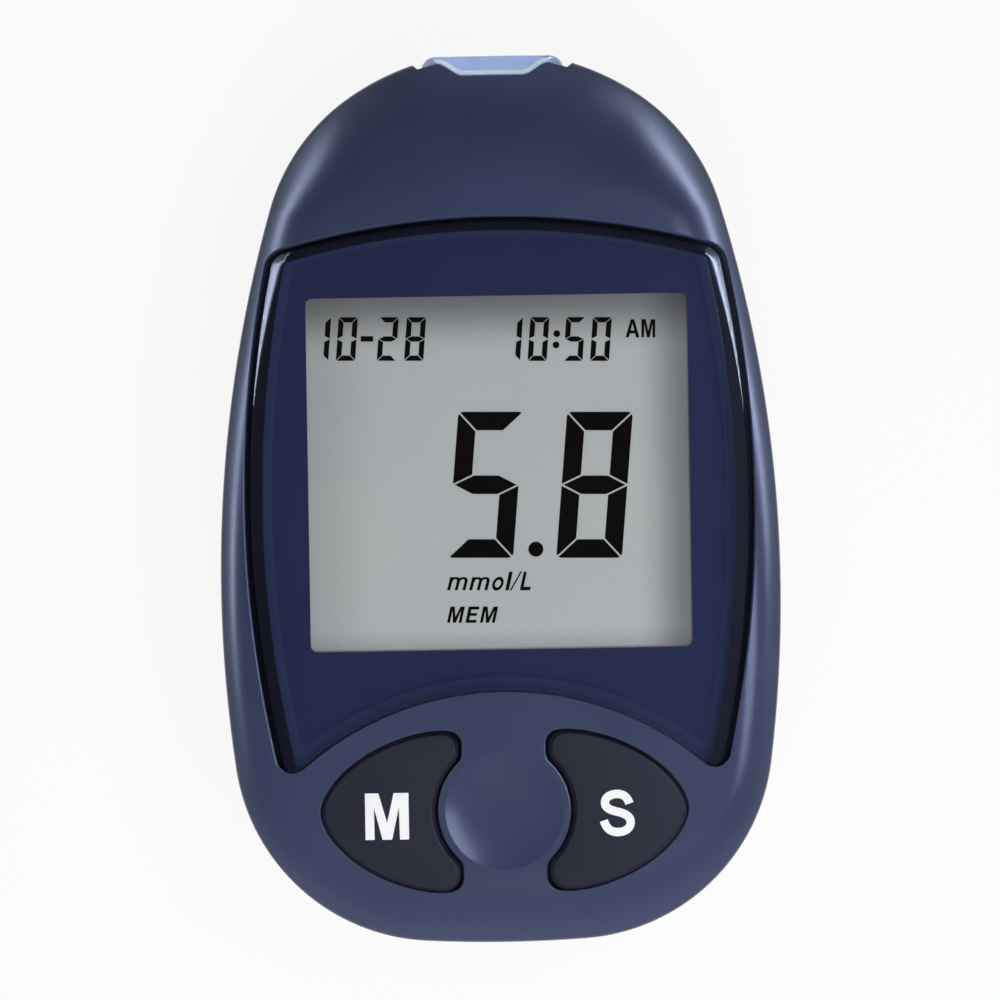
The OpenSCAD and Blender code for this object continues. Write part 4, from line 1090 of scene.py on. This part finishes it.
def build_window(finishes):
    """The lens: a bevel painted near-black as painted shade, with a bright slope at its top
    corners, a band of painted glow beside it, and a clear top.
    """
    outer = window_plan(0, 0, 0)
    rim = window_plan(BEVEL_W, BEVEL_TOP_W, BEVEL_FOOT_W)
    bright = [streak_share(p) for p in outer]
    deep = [1 - 0.9 * foot_share(p) for p in outer]

    def ring(share_at, depth_at):
        points = []
        for k, (a, b) in enumerate(zip(outer, rim)):
            p = a.lerp(b, share_at(k))
            points.append((p.x, p.y, crown(p.x, p.y) - depth_at(k) * deep[k]))
        return points

    def dark_depth(k, t):
        return BEVEL_W * (1 - GROOVE_SHARE - bright[k]) * DARK_SLOPE * (1 - t) ** 1.6

    def streak_depth(k, t):
        first, last = STREAK_SLOPES
        rise = first - (first * t - (first - last) * t * t / 2)
        return dark_depth(k, 0) + BEVEL_W * bright[k] * (rise - (first - last) / 2)

    rings = [lift(outer, SEAT_Z + 0.02)]
    rings.append(ring(lambda k: 0, lambda k: GROOVE_D))
    rings.append(ring(lambda k: GROOVE_SHARE - 0.05, lambda k: GROOVE_D))
    streak_row = len(rings)
    for t in (0, 0.25, 0.5, 0.75, 1):
        rings.append(ring(lambda k: GROOVE_SHARE + bright[k] * t, lambda k: streak_depth(k, t)))
    slope_row = len(rings) - 1
    for t in (0.25, 0.5, 0.75, 1):
        rings.append(ring(lambda k: 1 - (1 - GROOVE_SHARE - bright[k]) * (1 - t),
                          lambda k: dark_depth(k, t)))
    band_row = len(rings) - 1
    # The band of painted glow beside the bevel; along the foot it also paints light over the
    # housing's shade.
    painted_glow_outline = window_plan(BEVEL_W + BAND_W, BEVEL_TOP_W + BAND_TOP_W, BEVEL_FOOT_W + BAND_FOOT_W)
    rings.append([(p.x, p.y, crown(p.x, p.y)) for p in painted_glow_outline])
    rings += [shrunk(rim, share) for share in (0.8, 0.55, 0.3)]
    lens = shape("lens", *loft(rings, high_tip=(0, MID_Y, crown(0, MID_Y))))
    around = len(outer)
    # Slot 1 paints shade on the bevel and groove, slot 2 paints glow in the band.
    for face in lens.data.polygons:
        row = face.index // around
        column = face.index % around
        if row == band_row:
            face.material_index = 2
        elif foot_share(outer[column]) > 0.5 or row > band_row:
            face.material_index = 0
        elif streak_row <= row < slope_row and bright[column] > 0.03:
            face.material_index = 3
        else:
            face.material_index = 1
    finish_piece(lens, "window_lens", "housing", finishes, ["display_window"],
                 smooth=24)


# ---------------- keys and letters

def build_key(name, hand, body, node, material):
    """A key with a soft edge, its flange under the housing and its stem on the switch."""
    flange_z1 = KEY_DECK - KEY_FLOOR_T - FIT
    flange_z0 = flange_z1 - FLANGE_T

    def ring(inset, z):
        tip = max(LEAST_TIP, KEY_TIP_R - inset)
        return lift(at_pad(key_plan(KEY_FULL - inset, KEY_FULL - inset, tip), hand), z)

    rings = [ring(-SKIRT_OUT, flange_z0 + FIT), ring(-SKIRT_OUT, KEY_TOP - SKIRT_DOWN)]
    rings.append(ring(0, KEY_TOP - SKIRT_DOWN))
    for across, down in [fillet(18 * k, KEY_SOFT, KEY_SOFT) for k in range(6)]:
        rings.append(ring(across, KEY_TOP - down))
    key = shape("key", *loft(rings))
    flange = prism(at_pad(key_plan(FLANGE_OUT, FLANGE_OUT, KEY_TIP_R), hand), flange_z0, flange_z1)
    stem = post((hand * SWITCH_X, PAD_Y), STEM_R, PLUNGER_TOP, flange_z0 + FIT)
    combine(key, [flange, stem], "UNION")
    finish_piece(key, name, body, [material], [node])


def plates(name, outlines, z0, z1):
    """Thin flat plates, one for each outline, in one object."""
    points = []
    faces = []
    for outline in outlines:
        start = len(points)
        n = len(outline)
        points += lift(outline, z0) + lift(outline, z1)
        faces.append(tuple(range(start, start + n)))
        faces.append(tuple(reversed(range(start + n, start + 2 * n))))
        for j in range(n):
            k = (j + 1) % n
            faces.append((start + j, start + j + n, start + k + n, start + k))
    return shape(name, points, faces)


def bezier(points, steps=10):
    """Points along a chain of cubic curves, given as end, handle, handle, end and so on."""
    path = []
    for i in range(0, len(points) - 1, 3):
        a, b, c, d = (Vector(p) for p in points[i:i + 4])
        for k in range(steps):
            t = k / steps
            u = 1 - t
            path.append(u ** 3 * a + 3 * u * u * t * b + 3 * u * t * t * c + t ** 3 * d)
    path.append(Vector(points[-1]))
    return path


def ribbon(path, width, closed=False):
    """A stroke of even width along a path, as a row of quads."""
    n = len(path)
    left = []
    right = []
    for i, p in enumerate(path):
        before = path[(i - 1) % n] if closed or i else p
        after = path[(i + 1) % n] if closed or i < n - 1 else p
        along = (after - before).normalized()
        side = at(-along.y, along.x) * (width / 2)
        left.append(p + side)
        right.append(p - side)
    last = n if closed else n - 1
    return [[left[i], left[(i + 1) % n], right[(i + 1) % n], right[i]] for i in range(last)]


M_SPOT, S_SPOT = (-11.77, -31.55), (11.28, -31.58)
M_SIZE, S_STROKE = (4.36, 4.66), 0.84
LETTER_M = [(0, 0), (0, 1), (0.31, 1), (0.5, 0.365), (0.66, 1), (1, 1), (1, 0), (0.79, 0),
            (0.775, 0.69), (0.61, 0), (0.39, 0), (0.205, 0.68), (0.21, 0)]
LETTER_S = [(1.21, 0.93), (1.02, 1.57), (0.61, 1.91), (0.0, 1.91),
            (-0.70, 1.91), (-1.23, 1.57), (-1.23, 1.06),
            (-1.23, 0.48), (-0.64, 0.29), (0.0, 0.13),
            (0.67, -0.04), (1.31, -0.31), (1.31, -0.92),
            (1.31, -1.52), (0.77, -1.91), (0.0, -1.91),
            (-0.73, -1.91), (-1.18, -1.46), (-1.37, -0.73)]


def key_letter(name, outlines, centre, body, material):
    """Printed lettering: a film of ink on the flat top of a key."""
    moved = [[at(p[0] + centre[0], p[1] + centre[1]) for p in o] for o in outlines]
    letter = plates(name, moved, KEY_TOP - INK_T, KEY_TOP + INK_T)
    finish_piece(letter, name, body, [material])


def build_key_letters(material):
    w, h = M_SIZE
    letter_m = [[((x - 0.5) * w, (y - 0.5) * h) for x, y in LETTER_M]]
    key_letter("memory_letter", letter_m, M_SPOT, "memory_button", material)
    letter_s = ribbon(bezier(LETTER_S), S_STROKE)
    key_letter("set_letter", letter_s, S_SPOT, "set_button", material)


# ---------------- picture on the display

# The picture lies level in the photograph, so it is turned a little against the body.
PICTURE_SHIFT_Y = 0.25
PICTURE_Z0, PICTURE_Z1 = 17.69, 17.72
DIGIT_SEGMENTS = {"0": "abcdef", "1": "bc", "2": "abged", "5": "afgcd", "8": "abcdefg"}
# Stroke, gap, corner radius and slant of the digits
SMALL_STROKE = (0.52, 0.07, 0.22, 3.7)
LARGE_STROKE = (1.85, 0.17, 0.55, 4.3)


def on_display(name, outlines, material):
    c = cos(PHOTO_ROLL)
    s = sin(PHOTO_ROLL)
    turned = [[at(p[0] * c + p[1] * s, p[1] * c - p[0] * s + PICTURE_SHIFT_Y) for p in outline]
              for outline in outlines]
    piece = plates(name, turned, PICTURE_Z0, PICTURE_Z1)
    finish_piece(piece, name, "housing", [material])


def clip(outline, through, out):
    """The part of a convex outline that doesn't lie beyond a line."""
    kept = []
    for a, b in zip(outline, outline[1:] + outline[:1]):
        da = (a - through).dot(out)
        db = (b - through).dot(out)
        if da <= 0:
            kept.append(a)
        if da * db < 0:
            kept.append(a + (b - a) * (da / (da - db)))
    return kept


def segment_shapes(w, h, t):
    """The seven segments of an upright digit, by their usual letters, touching at their ends."""
    m = h / 2
    k = t / 2
    raw = {
        "a": [(0, h), (w, h), (w - t, h - t), (t, h - t)],
        "b": [(w, h), (w, m), (w - t, m + k), (w - t, h - t)],
        "c": [(w, m), (w, 0), (w - t, t), (w - t, m - k)],
        "d": [(0, 0), (t, t), (w - t, t), (w, 0)],
        "e": [(0, m), (t, m - k), (t, t), (0, 0)],
        "f": [(0, h), (t, h - t), (t, m + k), (0, m)],
        "g": [(0, m), (t, m + k), (w - t, m + k), (w, m), (w - t, m - k), (t, m - k)],
    }
    return {name: [Vector(p) for p in outline] for name, outline in raw.items()}


def part_ends(outline, gap):
    """Draws back the slanting ends of a segment by half of the gap."""
    centre = sum(outline, at(0, 0)) / len(outline)
    shaped = outline
    for a, b in zip(outline, outline[1:] + outline[:1]):
        along = b - a
        if abs(along.x) < 1e-6 or abs(along.y) < 1e-6:
            continue
        out = at(along.y, -along.x).normalized()
        if (centre - a).dot(out) > 0:
            out = -out
        shaped = clip(shaped, a - out * gap / 2, out)
    return shaped


def round_corners(outline, w, h, r):
    for cx, cy in ((r, r), (w - r, r), (w - r, h - r), (r, h - r)):
        sx = 1 if cx > w / 2 else -1
        sy = 1 if cy > h / 2 else -1
        for turn in (15, 30, 45, 60, 75):
            out = at(unit(turn).x * sx, unit(turn).y * sy)
            outline = clip(outline, at(cx, cy) + out * r, out)
    return outline


def digits(text, lefts, y, w, h, stroke):
    """The outlines of slanted digits, each with its lower left corner at its own place."""
    t, gap, corner, slant = stroke
    shapes = segment_shapes(w, h, t)
    outlines = []
    for mark, x in zip(text, lefts):
        for name in DIGIT_SEGMENTS[mark]:
            outline = round_corners(part_ends(shapes[name], gap), w, h, corner)
            outlines.append([at(x + p.x + p.y * tan(radians(slant)), y + p.y) for p in outline])
    return outlines


def build_date(material):
    outlines = digits("1028", (-19.03, -16.35, -12.27, -9.53), 13.58, 1.92, 4.36, SMALL_STROKE)
    outlines.append(rectangle(-13.87, -12.62, 15.5, 16.04))
    on_display("date_digits", outlines, material)


def build_time(material):
    outlines = digits("1050", (0.17, 2.82, 6.41, 9.06), 13.57, 1.90, 4.38, SMALL_STROKE)
    outlines += [disc(p, 0.34, 28) for p in ((5.74, 16.29), (5.66, 15.17))]
    on_display("time_digits", outlines, material)


def build_reading(material):
    outlines = digits("58", (-5.2, 5.68), -6.12, 6.57, 14.6, LARGE_STROKE)
    outlines.append(disc((3.65, -5.26), 0.75))
    on_display("reading_digits", outlines, material)


def lower_m():
    """Three stems under two round arches."""
    outlines = [[(0, 0), (0, 1), (0.17, 1), (0.17, 0)]]
    for left in (0.085, 0.5):
        path = [(0, 0.62), (0.02, 0.84), (0.10, 0.92), (0.22, 0.92), (0.34, 0.92),
                (0.415, 0.84), (0.415, 0.66), (0.415, 0.45), (0.415, 0.2), (0.415, 0.0)]
        outlines += ribbon(bezier([(left + x, y) for x, y in path], 6), 0.17)
    return outlines


def lower_o():
    turns = [2 * pi * k / 20 for k in range(20)]
    path = [at(0.5 + 0.37 * cos(t), 0.5 + 0.41 * sin(t)) for t in turns]
    return ribbon(path, 0.24, closed=True)


# Letters on a unit square
GLYPHS = {
    "A": [[(0, 0), (0.38, 1), (0.62, 1), (1, 0), (0.76, 0), (0.5, 0.78), (0.24, 0)],
          [(0.27, 0.22), (0.32, 0.38), (0.68, 0.38), (0.73, 0.22)]],
    "E": [[(0, 0), (0, 1), (1, 1), (1, 0.82), (0.3, 0.82), (0.3, 0.6), (0.92, 0.6),
           (0.92, 0.43), (0.3, 0.43), (0.3, 0.18), (1, 0.18), (1, 0)]],
    "L": [[(0, 0), (0, 1), (0.3, 1), (0.3, 0.19), (1, 0.19), (1, 0)]],
    "M": [[(0, 0), (0, 1), (0.3, 1), (0.5, 0.36), (0.7, 1), (1, 1), (1, 0), (0.8, 0),
           (0.8, 0.76), (0.6, 0), (0.4, 0), (0.2, 0.76), (0.2, 0)]],
    "l": [[(0, 0), (0, 1), (1, 1), (1, 0)]],
    "/": [[(0, -0.02), (0.8, 1.02), (1, 1.02), (0.2, -0.02)]],
    "m": lower_m(),
    "o": lower_o(),
}


def word(text, spots, x, y, h, slant):
    """The outlines of slanted letters, each with its own left edge and width."""
    lean = h * tan(radians(slant))
    placed = []
    for mark, (left, width) in zip(text, spots):
        for outline in GLYPHS[mark]:
            placed.append([at(x + left + p[0] * width + p[1] * lean, y + p[1] * h)
                           for p in outline])
    return placed


def build_words(material):
    x = -5.24
    y = -9.37
    unit_word = word("mmo", ((0.0, 1.84), (2.2, 1.84), (4.36, 1.14)), x, y, 1.32, 14)
    unit_word += word("l/L", ((5.82, 0.36), (6.26, 0.85), (7.28, 1.04)), x, y, 1.86, 12)
    on_display("unit_word", unit_word, material)
    memory = word("MEM", ((0.0, 1.45), (1.83, 1.08), (3.28, 1.5)), x, -12.62, 1.62, 12)
    on_display("memory_word", memory, material)
    half_day = word("AM", ((0.0, 1.38), (1.58, 1.38)), 12.62, 15.92, 1.82, 0)
    on_display("half_day_word", half_day, material)


# ---------------- strip port

def build_port(material, lip_material):
    """The collar: a rounded block with a trough, a slot and a lip along the scoop."""
    edge = [fillet(22.5 * k, PORT_SOFT, PORT_SOFT) for k in range(5)]
    rings = [lift(port_plan(PORT_SOFT), PORT_Z)]
    rings += [lift(port_plan(down), PORT_Z + across) for across, down in edge]
    rings += [lift(port_plan(across), PORT_TOP - down) for across, down in edge]
    collar = shape("collar", *loft(rings))
    lip = prism(scoop_plan(PORT_LIP_IN, FACE_Y - PORT_LIP_BACK), PORT_TOP - PORT_LIP_D,
                PORT_LIP_TOP)
    combine(lip, [prism(port_plan(0.0), PORT_TOP - 1, PORT_LIP_TOP + 1)], "INTERSECT")
    combine(collar, [port_flange(0), lip], "UNION")
    trough = prism(scoop_plan(TROUGH_IN, FACE_Y + 1), SLOT_Z, PORT_LIP_TOP + 1)
    slot = wide_box(SLOT_W, PORT_Y0 - 1, FACE_Y + 1, SLOT_Z, SLOT_Z + SLOT_H)
    mouth = wide_box(SLOT_W + 2 * MOUTH_ROOM, PORT_Y0 - 1, PORT_Y0 + MOUTH_L,
                     SLOT_Z - MOUTH_RISE, SLOT_Z + SLOT_H + MOUTH_RISE)
    combine(collar, [trough, slot, mouth], "DIFFERENCE")
    ribs = []
    for k in range(RIB_N):
        y = SCOOP_Y + RIB_AT + RIB_PITCH * k
        ribs.append(wide_box(SLOT_W - 2 * RIB_IN, y, y + RIB_L, SLOT_Z - RIB_DOWN,
                             SLOT_Z + RIB_UP))
    combine(collar, ribs, "UNION")
    for face in collar.data.polygons:
        if face.center.z > PORT_TOP + 0.3:
            face.material_index = 1
    finish_piece(collar, "port_collar", "housing", [material, lip_material],
                 ["strip_port"])


# ---------------- finishes of the solids

def paint_nodes():
    """Gives every solid that stays in view or inside the body its own finish."""
    finishes = [
        (mask_material(), "window_mask"),
        (display_material(), "lcd_front_polarizer lcd_rear_polarizer"),
        (plain_glass_material(), "lcd_front_glass lcd_rear_glass"),
        (white_plastic_material(), "lcd_frame memory_switch_plunger set_switch_plunger"),
        (rubber_material(), "lcd_contact_strip"),
        (board_material(), "main_board"),
        (chip_material(), "microcontroller analog_chip memory_chip buzzer memory_switch"
                          " set_switch strip_connector"),
        (nickel_material(), "clock_crystal battery_bridge battery_plus_contact"
                            " battery_minus_contact bridge_spring minus_spring housing_screws"),
        (component_material(), "chip_components"),
        (gold_material(), "strip_contacts"),
        (cell_material(), "left_battery right_battery"),
    ]
    for material, names in finishes:
        for name in names.split():
            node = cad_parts[name]
            if not node.material_slots:
                node.data.materials.append(material)
            for entry in node.material_slots:
                entry.material = material


# ---------------- studio

def build_floor():
    """A pale floor that shows white and keeps the object's shadow."""
    half = 6.0
    corners = [(-half, -half), (half, -half), (half, half), (-half, half)]
    mesh = bpy.data.meshes.new("floor")
    mesh.from_pydata(lift(corners, -0.00005), [], [(0, 1, 2, 3)])
    add_object("floor", mesh)
    tree = new_tree("floor_white")
    tree.coat(Base_Color=(0.88, 0.88, 0.88), Roughness=0.9)
    glow = tree.add("Emission", "Emission", Strength=1.0)
    rays = tree.nodes.new("ShaderNodeLightPath").outputs
    seen = tree.math("MAXIMUM", rays["Is Camera Ray"], rays["Is Glossy Ray"])
    seen = tree.math("MAXIMUM", seen, rays["Is Transmission Ray"])
    share = tree.math("MULTIPLY", seen, 0.90)
    mesh.materials.append(tree.show(tree.mix(share, tree.main.outputs["BSDF"], glow)))


def build_world():
    """A plain studio: pale low down, darker overhead and beyond the head."""
    tree = Tree(bpy.data.worlds.new("studio"), "Background")
    way = tree.split(tree.add("TexCoord", "Generated"))
    sky = tree.ramp(way["Z"], (0.0, (0.62, 0.63, 0.65)), (0.3, (0.34, 0.345, 0.36)),
                    (1.0, (0.075, 0.077, 0.083)))
    dimmed = tree.add("MapRange", "Result", way["Y"], -0.1, 0.7, 1.0, 0.35)
    bpy.context.scene.world = tree.coat(Color=sky, Strength=dimmed)


def softbox(name, azimuth, elevation, distance, size, power, colour=(1, 1, 1),
            aim=(0.0, 0.0, 0.012), spread=180):
    """A flat lamp that faces the object, placed by its direction from the aim point."""
    flat = distance * cos(radians(elevation))
    out = unit(azimuth)
    height = distance * sin(radians(elevation))
    place = Vector(aim) + Vector((flat * out.x, flat * out.y, height))
    lamp = bpy.data.lights.new(name, "AREA")
    lamp.shape = "RECTANGLE"
    lamp.size, lamp.size_y = size
    lamp.energy = power
    lamp.color = colour
    lamp.spread = radians(spread)
    obj = add_object(name, lamp)
    obj.location = place
    obj.rotation_euler = (Vector(aim) - place).to_track_quat("-Z", "Y").to_euler()
    return obj


KEYPAD_AIM = (0.0, -0.031, 0.02)


def build_gloss_lights():
    """Two long low strips for the highlights along the shoulders, and one for the dimple."""
    cool = (0.80, 0.95, 1.30)
    lamps = [
        softbox("right_strip", 59, 10, 0.56, (0.63, 0.045), 4.5, cool),
        softbox("left_strip", -64, 8, 0.56, (0.66, 0.042), 3.4, cool),
        softbox("dish_light", 66, 45, 0.11, (0.085, 0.045), 0.125, (0.82, 0.95, 1.25),
                KEYPAD_AIM),
    ]
    for lamp in lamps:
        lamp.visible_diffuse = False


def build_fill_lights():
    """Soft light from above and from the foot, and a narrow beam into the port's trough."""
    beam = softbox("port_light", 0, 72, 0.08, (0.0135, 0.0045), 0.00010,
                   aim=(0.0, 0.0428, 0.0115), spread=8)
    beam.visible_camera = False
    lamps = [
        beam,
        softbox("top_light", 52, 60, 0.28, (0.12, 0.09), 0.17, aim=KEYPAD_AIM),
        softbox("foot_fill", 170, 62, 0.30, (0.26, 0.20), 0.56),
        softbox("foot_light", 180, 58, 0.16, (0.10, 0.02), 0.00165, aim=(0.0, -0.050, 0.02),
                spread=22),
    ]
    for lamp in lamps:
        lamp.visible_glossy = False


def build_camera():
    """Straight above, turned a little so that the meter leans as in the photograph."""
    data = bpy.data.cameras.new("camera")
    data.type = "ORTHO"
    data.ortho_scale = 0.1
    data.clip_start = 0.01
    camera = add_object("camera", data)
    camera.location = (0.000054, -0.000091, 0.6)
    camera.rotation_euler = (0, 0, -PHOTO_ROLL)
    bpy.context.scene.camera = camera


# ---------------- the scene

build_camera()
navy = housing_material()
build_front_shell(navy)
build_rear_shell(navy)
build_door(navy)
# The window's finishes: clear top, painted shade, painted glow and the bright slope.
build_window([window_material(), painted_shade_groove_material(), painted_glow_band_material(),
              window_streak_material()])
dark = key_material()
build_key("memory_cap", -1, "memory_button", "memory_key", dark)
build_key("set_cap", 1, "set_button", "set_key", dark)
build_key_letters(letter_material())
ink = segment_material()
for build in (build_date, build_time, build_reading, build_words):
    build(ink)
build_port(collar_material(), collar_lip_material())
paint_nodes()
build_floor()
build_world()
build_gloss_lights()
build_fill_lights()

bpy.context.scene.view_settings.view_transform = "Standard"
